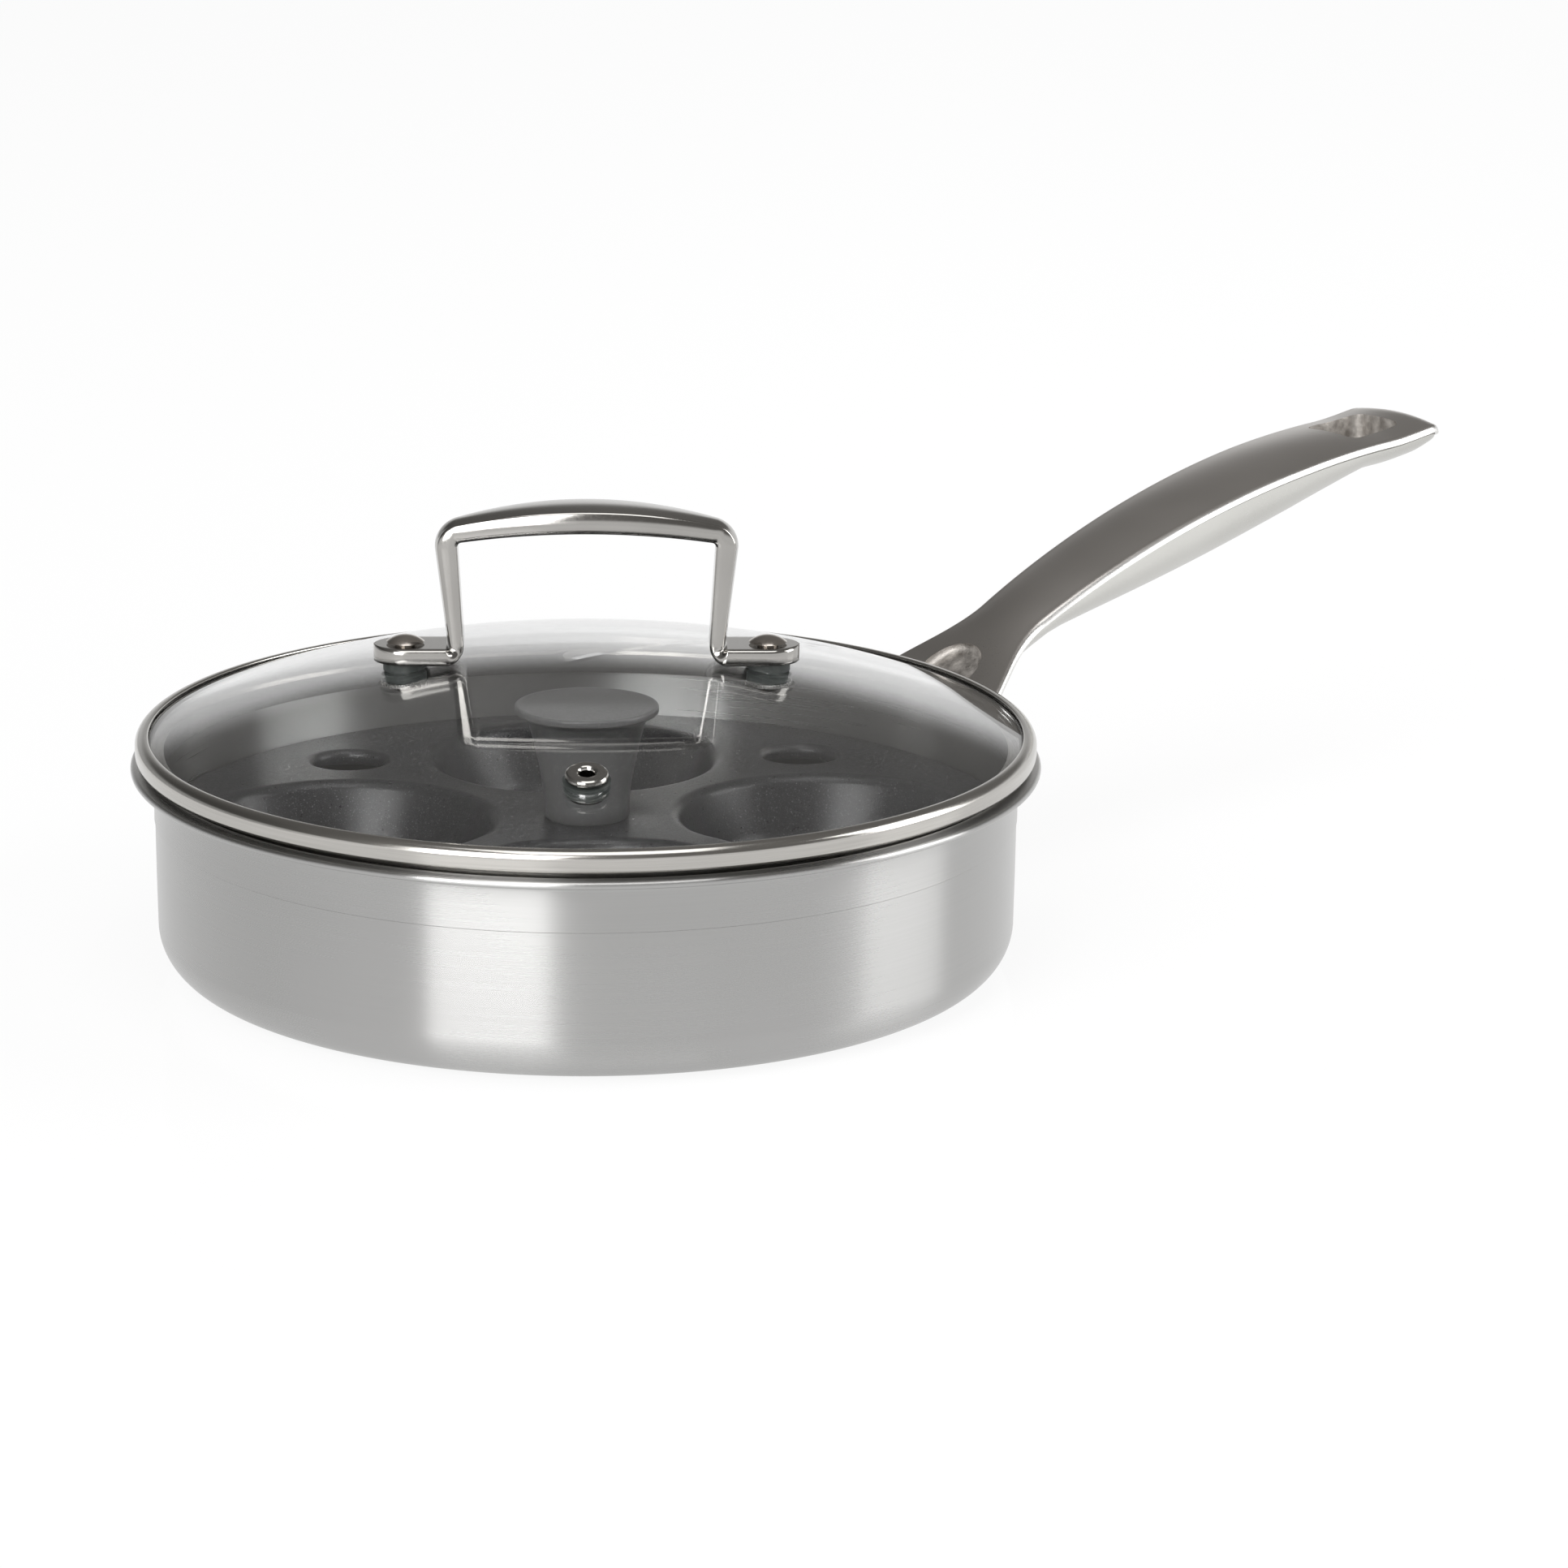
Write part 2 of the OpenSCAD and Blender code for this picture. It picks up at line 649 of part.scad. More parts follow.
function bail_ring(p) =
    let (share = min(max((p[1] - foot_top) / bar_rise, 0), 1),
        side = min(abs(p[0]) / leg_x, 1),
        over = min(max((p[1] - corner_z) / bar_corner_r, 0), 1),
        t = leg_t + (bar_t - leg_t) * share - 0.7 * over * pow(side, 2),
        leg_w = waist_w + (foot_w - 3.5 - waist_w) * pow(1 - share, 1.5),
        w = leg_w + (bar_w - leg_w) * over * (1 - pow(side, 2)))
    [for (q = [0:22.5:337.5])
        let (u = sign(cos(q)) * pow(abs(cos(q)), 0.6) * t / 2,
            v = sign(sin(q)) * pow(abs(sin(q)), 0.6) * w / 2)
        [p[0] + u * sin(p[2]), v, p[1] + u * cos(p[2])]];

module bail_bar() {
    half = bail_half();
    line = concat([for (i = [len(half) - 1:-1:1]) [-half[i][0], half[i][1], -half[i][2]]], half);
    rings = [for (p = line) bail_ring(p)];
    n = len(rings[0]);
    last = len(rings) - 1;
    polyhedron(
        points = [for (r = rings) for (p = r) p],
        faces = concat(
            [[for (k = [n - 1:-1:0]) k]],
            [for (i = [0:last - 1]) for (k = [0:n - 1]) for (s = [0, 1])
                let (a = i * n + k, b = i * n + (k + 1) % n)
                s == 0 ? [a, b, a + n] : [b, b + n, a + n]],
            [[for (k = [0:n - 1]) last * n + k]]
        ),
        convexity = 6
    );
}

// One foot: a plate with a round outer end, drilled for its rivet
module bail_foot(s) {
    inner_x = leg_x - leg_t / 2 - 0.3;
    translate([0, 0, foot_z]) {
        translate([s * lid_rivet_x, 0, 0]) cylinder(h = foot_t, r = foot_w / 2);
        translate([s > 0 ? inner_x : -lid_rivet_x, -foot_w / 2, 0])
            cube([lid_rivet_x - inner_x, foot_w, foot_t]);
    }
}

module lid_handle() {
    color("silver")
    rotate([0, 0, lid_turn])
        difference() {
            union() {
                bail_bar();
                for (s = [-1, 1]) bail_foot(s);
            }
            for (s = [-1, 1])
                translate([s * lid_rivet_x, 0, foot_z - 1])
                    cylinder(h = foot_t + 2, r = lid_rivet_r + fit);
        }
}

module lid_rivet(s) {
    head_h = 2;
    tail_h = 1.6;
    low_z = under_z - lid_washer_t - fit;
    color("gainsboro")
    rotate([0, 0, lid_turn])
        translate([s * lid_rivet_x, 0, 0]) {
            translate([0, 0, foot_top + fit]) rivet_dome(lid_rivet_head_d, head_h);
            translate([0, 0, low_z]) cylinder(h = foot_top - low_z + fit * 2, r = lid_rivet_r);
            translate([0, 0, low_z]) rotate([180, 0, 0]) rivet_dome(lid_rivet_head_d - 1, tail_h);
        }
}

module upper_pad(s) {
    color("darkslategray")
    difference() {
        rotate([0, 0, lid_turn])
            translate([s * lid_rivet_x, 0, foot_z - pad_t * 2])
                difference() {
                    cylinder(h = pad_t * 2, r = pad_d / 2);
                    translate([0, 0, -1]) cylinder(h = pad_t * 2 + 2, r = lid_rivet_r + fit);
                }
        translate([0, 0, dome_z]) sphere(r = dome_r + fit, $fn = fine);
    }
}

module lower_pad(s) {
    color("darkslategray")
    intersection() {
        rotate([0, 0, lid_turn])
            translate([s * lid_rivet_x, 0, under_z])
                difference() {
                    cylinder(h = lower_pad_t * 2, r = pad_d / 2);
                    translate([0, 0, -1]) cylinder(h = lower_pad_t * 2 + 2, r = lid_rivet_r + fit);
                }
        translate([0, 0, dome_z]) sphere(r = dome_r - glass_t - fit, $fn = fine);
    }
}

module lid_washer(s) {
    color("silver")
    rotate([0, 0, lid_turn])
        translate([s * lid_rivet_x, 0, under_z - lid_washer_t])
            difference() {
                cylinder(h = lid_washer_t, r = lid_washer_d / 2);
                translate([0, 0, -1]) cylinder(h = lid_washer_t + 2, r = lid_rivet_r + fit);
            }
}

module lid_rivet_left() { lid_rivet(-1); }
module lid_rivet_right() { lid_rivet(1); }
module upper_pad_left() { upper_pad(-1); }
module upper_pad_right() { upper_pad(1); }
module lower_pad_left() { lower_pad(-1); }
module lower_pad_right() { lower_pad(1); }
module lid_washer_left() { lid_washer(-1); }
module lid_washer_right() { lid_washer(1); }

// Eyelet: a tube with a rolled rim above the glass and a flared rim below
module vent_eyelet() {
    rim_t = 1.1;
    bore_r = vent_bore_d / 2;
    color("gainsboro")
    at_vent()
        rotate_extrude()
            polygon(concat(
                [[bore_r, -glass_t - grommet_t - rim_t]],
                arc(vent_rim_d / 2 - rim_t, -glass_t - grommet_t - rim_t / 2 - fit, rim_t / 2, -90, 90, 5),
                [[vent_tube_r, -glass_t - grommet_t - fit], [vent_tube_r, grommet_t + fit]],
                arc(vent_rim_d / 2 - rim_t, grommet_t + fit + rim_t, rim_t, -90, 90, 8),
                [[bore_r + rim_t, grommet_t + fit + rim_t * 2]],
                arc(bore_r + rim_t, grommet_t + fit + rim_t, rim_t, 90, 180, 5)
            ));
}

// Silicone grommet: a sleeve in the hole of the glass with a flange on each side
module vent_grommet() {
    tube_r = vent_tube_r + fit;
    out_r = vent_rim_d / 2 + 0.5;
    color("darkslategray")
    at_vent()
        rotate_extrude()
            polygon([
                [tube_r, -glass_t - grommet_t], [out_r - 0.3, -glass_t - grommet_t],
                [out_r - 0.3, -glass_t - 0.1], [vent_hole_r, -glass_t - 0.1], [vent_hole_r, 0.1],
                [out_r, 0.1], [out_r, grommet_t], [tube_r, grommet_t]
            ]);
}

pan_body();
pan_handle();
handle_rivet_left();
handle_rivet_right();
handle_rivet_lower();
egg_tray();
tray_knob();
knob_insert();
knob_screw();
knob_washer();
lid_glass();
lid_band();
lid_handle();
lid_rivet_left();
lid_rivet_right();
upper_pad_left();
upper_pad_right();
lower_pad_left();
lower_pad_right();
lid_washer_left();
lid_washer_right();
vent_eyelet();
vent_grommet();
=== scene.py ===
# Egg poacher pan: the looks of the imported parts, in metres, in the frame of the CAD model
import math

import bmesh
import bpy
from mathutils import Matrix, Vector


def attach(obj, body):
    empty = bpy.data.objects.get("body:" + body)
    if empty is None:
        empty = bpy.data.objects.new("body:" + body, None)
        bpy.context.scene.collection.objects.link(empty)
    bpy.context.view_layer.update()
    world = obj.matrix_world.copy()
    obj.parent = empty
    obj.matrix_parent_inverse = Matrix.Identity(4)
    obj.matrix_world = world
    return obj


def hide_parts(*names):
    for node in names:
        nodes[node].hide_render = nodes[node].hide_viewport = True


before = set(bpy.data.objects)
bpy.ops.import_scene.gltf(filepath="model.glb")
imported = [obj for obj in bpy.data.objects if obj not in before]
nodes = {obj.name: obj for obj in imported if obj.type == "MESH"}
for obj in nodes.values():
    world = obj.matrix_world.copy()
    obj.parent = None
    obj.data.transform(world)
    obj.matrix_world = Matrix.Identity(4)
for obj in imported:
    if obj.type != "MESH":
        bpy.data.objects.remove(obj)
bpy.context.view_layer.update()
mm = 0.001
weld = 1e-6  # points closer than this are one
frontBearing = 230  # where the viewer stands, in degrees round the Z axis
print("frame loaded:", len(nodes), "nodes")


# helpers for trees, turned pieces and lofts

def arc(x, z, r, start, end, steps):
    # points of an arc in the (radius, height) plane, angles in degrees
    turn = [math.radians(start + (end - start) * i / steps) for i in range(steps + 1)]
    return [(x + r * math.cos(a), z + r * math.sin(a)) for a in turn]


def newTree(name, inputs):
    tree = bpy.data.node_groups.new(name, "GeometryNodeTree")
    tree.interface.new_socket("Geometry", in_out="INPUT", socket_type="NodeSocketGeometry")
    for label, kind, value in inputs:
        socket = tree.interface.new_socket(label, in_out="INPUT", socket_type=kind)
        if value is not None:
            socket.default_value = value
    tree.interface.new_socket("Geometry", in_out="OUTPUT", socket_type="NodeSocketGeometry")
    return tree, tree.nodes.new("NodeGroupInput"), tree.nodes.new("NodeGroupOutput")


def put(tree, kind, values=None, **settings):
    # one node with its settings, and its inputs given as values or as sockets to link
    node = tree.nodes.new(kind)
    for key, value in settings.items():
        setattr(node, key, value)
    for key, value in (values or {}).items():
        if isinstance(value, bpy.types.NodeSocket):
            tree.links.new(value, node.inputs[key])
        else:
            node.inputs[key].default_value = value
    return node


def maths(tree, operation, a, b=None):
    values = {0: a} if b is None else {0: a, 1: b}
    return put(tree, "ShaderNodeMath", values, operation=operation).outputs[0]


def setInputs(modifier, tree, values):
    # by the identifier of each socket, before the object is first evaluated
    for item in tree.interface.items_tree:
        if item.in_out == "INPUT" and item.name in values:
            modifier[item.identifier] = values[item.name]


def settle(obj, name, closed=True, sharp=35):
    # turn the evaluated object into one plain mesh without modifiers
    bpy.context.view_layer.update()
    made = obj.evaluated_get(bpy.context.evaluated_depsgraph_get())
    mesh = bpy.data.meshes.new_from_object(made)
    old = obj.data
    obj.modifiers.clear()
    bpy.data.objects.remove(obj)
    if old.users == 0:
        bpy.data.meshes.remove(old)
    bm = bmesh.new()
    bm.from_mesh(mesh)
    bmesh.ops.remove_doubles(bm, verts=bm.verts, dist=weld)
    bmesh.ops.dissolve_degenerate(bm, edges=bm.edges, dist=1e-7)
    if closed:
        bmesh.ops.recalc_face_normals(bm, faces=bm.faces)
    bm.to_mesh(mesh)
    bm.free()
    mesh.name = name
    mesh.shade_smooth()
    if sharp is not None:
        mesh.set_sharp_from_angle(angle=math.radians(sharp))
    piece = bpy.data.objects.new(name, mesh)
    bpy.context.scene.collection.objects.link(piece)
    return piece


def source(name, points, faces=(), edges=()):
    # a mesh object from points in millimetres
    mesh = bpy.data.meshes.new(name)
    mesh.from_pydata([[c * mm for c in p] for p in points], edges, faces)
    obj = bpy.data.objects.new(name, mesh)
    bpy.context.scene.collection.objects.link(obj)
    return obj


def makeTurnedTree():
    # turns a profile, given as a line of points in the XZ plane, once round the Z axis
    tree, given, result = newTree("turnedPiece", [
        ("Segments", "NodeSocketInt", 96), ("Finish", "NodeSocketMaterial", None)])
    count = put(tree, "GeometryNodeAttributeDomainSize", {"Geometry": given.outputs["Geometry"]})
    rows = count.outputs["Point Count"]
    columns = maths(tree, "ADD", given.outputs["Segments"], 1.0)
    grid = put(tree, "GeometryNodeMeshGrid", {"Vertices X": columns, "Vertices Y": rows})
    index = put(tree, "GeometryNodeInputIndex").outputs[0]
    column = maths(tree, "FLOOR", maths(tree, "DIVIDE", maths(tree, "ADD", index, 0.5), rows))
    row = maths(tree, "SUBTRACT", index, maths(tree, "MULTIPLY", column, rows))
    share = maths(tree, "DIVIDE", maths(tree, "MULTIPLY", column, math.tau), given.outputs["Segments"])
    place = put(tree, "GeometryNodeInputPosition").outputs[0]
    sample = put(tree, "GeometryNodeSampleIndex", data_type="FLOAT_VECTOR", domain="POINT")
    tree.links.new(given.outputs["Geometry"], sample.inputs["Geometry"])
    tree.links.new(place, sample.inputs["Value"])
    tree.links.new(row, sample.inputs["Index"])
    split = put(tree, "ShaderNodeSeparateXYZ", {0: sample.outputs[0]})
    joined = put(tree, "ShaderNodeCombineXYZ", {
        0: maths(tree, "MULTIPLY", split.outputs[0], maths(tree, "COSINE", share)),
        1: maths(tree, "MULTIPLY", split.outputs[0], maths(tree, "SINE", share)),
        2: split.outputs[2]})
    moved = put(tree, "GeometryNodeSetPosition", {"Geometry": grid.outputs["Mesh"],
                                                  "Position": joined.outputs[0]})
    kept = put(tree, "GeometryNodeStoreNamedAttribute", {
        "Geometry": moved.outputs[0], "Name": "aroundAndAlong", "Value": grid.outputs["UV Map"]},
        data_type="FLOAT2", domain="CORNER")
    welded = put(tree, "GeometryNodeMergeByDistance", {"Geometry": kept.outputs[0], "Distance": weld})
    real = put(tree, "GeometryNodeRealizeInstances", {"Geometry": welded.outputs[0]})
    finish = put(tree, "GeometryNodeSetMaterial", {"Geometry": real.outputs[0],
                                                   "Material": given.outputs["Finish"]})
    tree.links.new(finish.outputs[0], result.inputs[0])
    return tree


turnedTree = makeTurnedTree()


def turned(name, profile, finish, segments=192, closed=True, sharp=35):
    # a closed profile ends where it starts, or on the axis at both ends
    points = [(r, 0, z) for r, z in profile]
    obj = source(name + "Profile", points, edges=[(i, i + 1) for i in range(len(points) - 1)])
    modifier = obj.modifiers.new("turned", "NODES")
    modifier.node_group = turnedTree
    setInputs(modifier, turnedTree, {"Segments": segments, "Finish": finish})
    return settle(obj, name, closed, sharp)


def makePlacedTree():
    # sets one part on every point of the given mesh
    tree, given, result = newTree("placedParts", [
        ("Part", "NodeSocketObject", None), ("Turn", "NodeSocketFloat", 0.0),
        ("Finish", "NodeSocketMaterial", None)])
    part = put(tree, "GeometryNodeObjectInfo", {"Object": given.outputs["Part"]})
    upright = put(tree, "ShaderNodeCombineXYZ", {2: given.outputs["Turn"]})
    placed = put(tree, "GeometryNodeInstanceOnPoints", {
        "Points": given.outputs["Geometry"], "Instance": part.outputs["Geometry"]})
    swung = put(tree, "GeometryNodeTransform", {"Geometry": placed.outputs[0],
                                                "Rotation": upright.outputs[0]})
    real = put(tree, "GeometryNodeRealizeInstances", {"Geometry": swung.outputs[0]})
    finish = put(tree, "GeometryNodeSetMaterial", {"Geometry": real.outputs[0],
                                                   "Material": given.outputs["Finish"]})
    tree.links.new(finish.outputs[0], result.inputs[0])
    return tree


placedTree = makePlacedTree()


def placed(name, part, points, finish, turn=0.0, sharp=35):
    obj = source(name + "Places", points)
    modifier = obj.modifiers.new("placed", "NODES")
    modifier.node_group = placedTree
    setInputs(modifier, placedTree, {"Part": part, "Turn": math.radians(turn), "Finish": finish})
    piece = settle(obj, name, True, sharp)
    bpy.data.objects.remove(part)
    return piece


def lofted(name, rings, kinds, zones=None):
    # closed rings of points in millimetres, joined one after another, each column in the finish of its zone
    n = len(rings[0])
    points = [p for ring in rings for p in ring]
    faces = [(i * n + k, i * n + (k + 1) % n, (i + 1) * n + (k + 1) % n, (i + 1) * n + k)
             for i in range(len(rings) - 1) for k in range(n)]
    faces.append(tuple(range(n - 1, -1, -1)))
    faces.append(tuple((len(rings) - 1) * n + k for k in range(n)))
    obj = source(name, points, faces)
    for kind in kinds:
        obj.data.materials.append(finishes[kind])
    if zones:
        for face in obj.data.polygons:
            face.material_index = zones[face.index % n] if face.index < (len(rings) - 1) * n else 1
    bm = bmesh.new()
    bm.from_mesh(obj.data)
    bmesh.ops.remove_doubles(bm, verts=bm.verts, dist=weld)
    bmesh.ops.recalc_face_normals(bm, faces=bm.faces)
    bm.to_mesh(obj.data)
    bm.free()
    obj.data.shade_smooth()
    return obj


def rise(x, start, end):
    t = min(max((x - start) / (end - start), 0), 1)
    return t * t * (3 - 2 * t)


# finishes

def newFinish(name, look):
    finish = bpy.data.materials.new(name)
    finish.use_nodes = True
    tree = finish.node_tree
    tree.nodes.clear()
    shader = tree.nodes.new("ShaderNodeBsdfPrincipled")
    output = tree.nodes.new("ShaderNodeOutputMaterial")
    tree.links.new(shader.outputs[0], output.inputs["Surface"])
    shader.inputs["Metallic"].default_value = look.get("metal", 0.0)
    shader.inputs["IOR"].default_value = 1.5
    shader.inputs["Specular IOR Level"].default_value = look.get("specular", 0.5)
    shader.inputs["Anisotropic"].default_value = look.get("stretch", 0.0)
    shader.inputs["Anisotropic Rotation"].default_value = look.get("stretchTurn", 0.0)
    return finish, tree, shader


def noise(tree, vector, scale, detail=3.0, roughness=0.55):
    made = put(tree, "ShaderNodeTexNoise", {"Vector": vector, "Scale": scale, "Detail": detail,
                                           "Roughness": roughness})
    return made.outputs["Fac"]


def ranged(tree, value, low, high, toLow, toHigh):
    return put(tree, "ShaderNodeMapRange", {"Value": value, "From Min": low, "From Max": high,
                                           "To Min": toLow, "To Max": toHigh}).outputs[0]


def blended(tree, share, dark, light):
    # the colours of a Mix node are its inputs 6 and 7 and its output 2
    return put(tree, "ShaderNodeMix", {0: share, 6: (*dark, 1), 7: (*light, 1)}, data_type="RGBA").outputs[2]


def turnedSteel(name, look):
    # brushed or polished round the axis: fine lines that follow the turning, with slow smudges
    finish, tree, shader = newFinish(name, look)
    coords = put(tree, "ShaderNodeTexCoord").outputs["Object"]
    split = put(tree, "ShaderNodeSeparateXYZ", {0: coords})
    x, y, z = split.outputs
    radius = maths(tree, "SQRT", maths(tree, "ADD", maths(tree, "MULTIPLY", x, x), maths(tree, "MULTIPLY", y, y)))
    level = maths(tree, "MULTIPLY", maths(tree, "ADD", z, radius), look["across"])
    lines = put(tree, "ShaderNodeCombineXYZ", {
        0: maths(tree, "MULTIPLY", x, look["along"]), 1: maths(tree, "MULTIPLY", y, look["along"]), 2: level})
    brush = noise(tree, lines.outputs[0], 1.0, 4.0, 0.65)
    smudge = noise(tree, coords, look["smudge"], 2.0)
    tree.links.new(blended(tree, ranged(tree, brush, 0.3, 0.7, 0, 1), look["dark"], look["light"]),
                   shader.inputs["Base Color"])
    rough = maths(tree, "ADD", ranged(tree, brush, 0.3, 0.7, look["smooth"], look["rough"]),
                  ranged(tree, smudge, 0.3, 0.7, 0, look["haze"]))
    tree.links.new(rough, shader.inputs["Roughness"])
    bump = put(tree, "ShaderNodeBump", {"Strength": look["relief"], "Distance": 0.00004, "Height": brush})
    tree.links.new(bump.outputs[0], shader.inputs["Normal"])
    if look.get("stretch"):
        tangent = put(tree, "ShaderNodeTangent", direction_type="UV_MAP", uv_map="aroundAndAlong")
        tree.links.new(tangent.outputs[0], shader.inputs["Tangent"])
    return finish


def castSteel(name, look):
    # polished or satin casting: fine pitting and slow smudges
    finish, tree, shader = newFinish(name, look)
    coords = put(tree, "ShaderNodeTexCoord").outputs["Object"]
    grain = noise(tree, coords, look["grain"], 4.0, 0.6)
    smudge = noise(tree, coords, look["smudge"], 2.0)
    tree.links.new(blended(tree, ranged(tree, smudge, 0.3, 0.7, 0, 1), look["dark"], look["light"]),
                   shader.inputs["Base Color"])
    rough = maths(tree, "ADD", ranged(tree, grain, 0.3, 0.7, look["smooth"], look["rough"]),
                  ranged(tree, smudge, 0.35, 0.65, 0, look["haze"]))
    tree.links.new(rough, shader.inputs["Roughness"])
    bump = put(tree, "ShaderNodeBump", {"Strength": look["relief"], "Distance": look["depth"], "Height": grain})
    tree.links.new(bump.outputs[0], shader.inputs["Normal"])
    return finish


def coatedFinish(name, look):
    # non-stick coating or moulding: an even dark skin with fine bright flecks
    finish, tree, shader = newFinish(name, look)
    coords = put(tree, "ShaderNodeTexCoord").outputs["Object"]
    skin = noise(tree, coords, look["grain"], 3.0, 0.6)
    fleck = noise(tree, coords, look["flecks"], 1.0, 0.5)
    share = ranged(tree, fleck, look["fleckFrom"], look["fleckTo"], 0, 1)
    tree.links.new(blended(tree, share, look["dark"], look["light"]), shader.inputs["Base Color"])
    rough = maths(tree, "ADD", ranged(tree, skin, 0.3, 0.7, look["smooth"], look["rough"]),
                  maths(tree, "MULTIPLY", share, look["fleckGloss"]))
    tree.links.new(rough, shader.inputs["Roughness"])
    height = maths(tree, "ADD", skin, maths(tree, "MULTIPLY", fleck, look["sparkle"]))
    bump = put(tree, "ShaderNodeBump", {"Strength": look["relief"], "Distance": look["depth"], "Height": height})
    tree.links.new(bump.outputs[0], shader.inputs["Normal"])
    return finish


def lidGlass(name, look):
    # clear toughened glass that lets light through to the tray
    finish, tree, shader = newFinish(name, look)
    coords = put(tree, "ShaderNodeTexCoord").outputs["Object"]
    smear = noise(tree, coords, look["smudge"], 2.0)
    tree.links.new(ranged(tree, smear, 0.4, 0.7, look["smooth"], look["rough"]), shader.inputs["Roughness"])
    tree.links.new(blended(tree, smear, look["dark"], look["light"]), shader.inputs["Base Color"])
    shader.inputs["Transmission Weight"].default_value = 1.0
    clear = put(tree, "ShaderNodeBsdfTransparent")
    clear.inputs[0].default_value = (*look["shade"], 1)
    path = put(tree, "ShaderNodeLightPath")
    mixed = put(tree, "ShaderNodeMixShader", {0: path.outputs["Is Shadow Ray"], 1: shader.outputs[0],
                                             2: clear.outputs[0]})
    output = [n for n in tree.nodes if n.type == "OUTPUT_MATERIAL"][0]
    tree.links.new(mixed.outputs[0], output.inputs["Surface"])
    return finish


finishes = {
    "wallSteel": turnedSteel("wallSteel", dict(
        metal=1.0, dark=(0.424, 0.422, 0.416), light=(0.440, 0.438, 0.432), across=2600, along=16, smudge=14,
        smooth=0.262, rough=0.272, haze=0.02, relief=0.012, stretch=1.0, stretchTurn=0.25)),
    "rimSteel": turnedSteel("rimSteel", dict(
        metal=1.0, dark=(0.55, 0.54, 0.515), light=(0.62, 0.605, 0.58), across=1500, along=30, smudge=20,
        smooth=0.10, rough=0.17, haze=0.04, relief=0.06)),
    # painted shade: the lid band in a darker copy of the rim's steel, standing in for the dark ceiling it reflects
    "bandSteelShaded": turnedSteel("bandSteelShaded", dict(
        metal=1.0, dark=(0.44, 0.43, 0.405), light=(0.50, 0.485, 0.46), across=1500, along=30, smudge=20,
        smooth=0.12, rough=0.19, haze=0.04, relief=0.06)),
    "handleTop": castSteel("handleTop", dict(
        metal=1.0, dark=(0.60, 0.575, 0.548), light=(0.67, 0.643, 0.615), grain=2400, smudge=22,
        smooth=0.27, rough=0.32, haze=0.04, relief=0.02, depth=0.00003)),
    # painted highlight: the rounded edge of the handle in a lighter copy of its steel
    "handleEdgeHighlight": castSteel("handleEdgeHighlight", dict(
        metal=1.0, dark=(0.70, 0.695, 0.68), light=(0.76, 0.755, 0.74), grain=1400, smudge=22,
        smooth=0.29, rough=0.34, haze=0.03, relief=0.02, depth=0.00003)),
    "handleBelly": castSteel("handleBelly", dict(
        metal=1.0, dark=(0.54, 0.535, 0.51), light=(0.60, 0.595, 0.57), grain=1800, smudge=24,
        smooth=0.26, rough=0.34, haze=0.04, relief=0.08, depth=0.00003)),
    # painted shade: a dark copy of the handle's steel for the narrow groove between the edge and the belly
    "grooveShade": castSteel("grooveShade", dict(
        metal=1.0, dark=(0.20, 0.195, 0.18), light=(0.26, 0.25, 0.235), grain=900, smudge=40,
        smooth=0.40, rough=0.50, haze=0.05, relief=0.1, depth=0.00003)),
    "roughCasting": castSteel("roughCasting", dict(
        metal=1.0, dark=(0.30, 0.28, 0.26), light=(0.66, 0.63, 0.595), grain=900, smudge=300,
        smooth=0.42, rough=0.60, haze=0.08, relief=0.8, depth=0.0002)),
    "bailSteel": castSteel("bailSteel", dict(
        metal=1.0, dark=(0.35, 0.34, 0.325), light=(0.40, 0.39, 0.372), grain=1600, smudge=30,
        smooth=0.09, rough=0.15, haze=0.04, relief=0.05, depth=0.00003)),
    "rivetSteel": castSteel("rivetSteel", dict(
        metal=1.0, dark=(0.46, 0.42, 0.385), light=(0.54, 0.50, 0.46), grain=1800, smudge=60,
        smooth=0.14, rough=0.22, haze=0.05, relief=0.1, depth=0.00003)),
    "washerSteel": castSteel("washerSteel", dict(
        metal=1.0, dark=(0.55, 0.545, 0.53), light=(0.64, 0.635, 0.62), grain=1500, smudge=80,
        smooth=0.20, rough=0.30, haze=0.05, relief=0.2, depth=0.00005)),
    "insertBrass": castSteel("insertBrass", dict(
        metal=1.0, dark=(0.62, 0.44, 0.19), light=(0.74, 0.54, 0.25), grain=1500, smudge=90,
        smooth=0.25, rough=0.36, haze=0.05, relief=0.2, depth=0.00005)),
    "trayCoating": coatedFinish("trayCoating", dict(
        dark=(0.012, 0.012, 0.013), light=(0.15, 0.15, 0.15), grain=900, flecks=3000, fleckFrom=0.64,
        fleckTo=0.74, smooth=0.27, rough=0.36, fleckGloss=-0.12, relief=0.6, depth=0.00005,
        sparkle=1.2, specular=0.44)),
    "knobMoulding": coatedFinish("knobMoulding", dict(
        dark=(0.078, 0.078, 0.078), light=(0.096, 0.096, 0.096), grain=1500, flecks=900, fleckFrom=0.55,
        fleckTo=0.75, smooth=0.28, rough=0.38, fleckGloss=0.04, relief=0.2, depth=0.00004,
        sparkle=0.0, specular=0.5)),
    "silicone": coatedFinish("silicone", dict(
        dark=(0.035, 0.040, 0.038), light=(0.055, 0.060, 0.056), grain=700, flecks=400, fleckFrom=0.45,
        fleckTo=0.7, smooth=0.48, rough=0.60, fleckGloss=0.05, relief=0.25, depth=0.00008,
        sparkle=0.0, specular=0.4)),
    "lidGlass": lidGlass("lidGlass", dict(
        dark=(0.965, 0.97, 0.97), light=(0.985, 0.987, 0.987), smudge=9, smooth=0.0, rough=0.012,
        shade=(0.92, 0.925, 0.925))),
}
print("finishes made:", len(finishes))


# pan

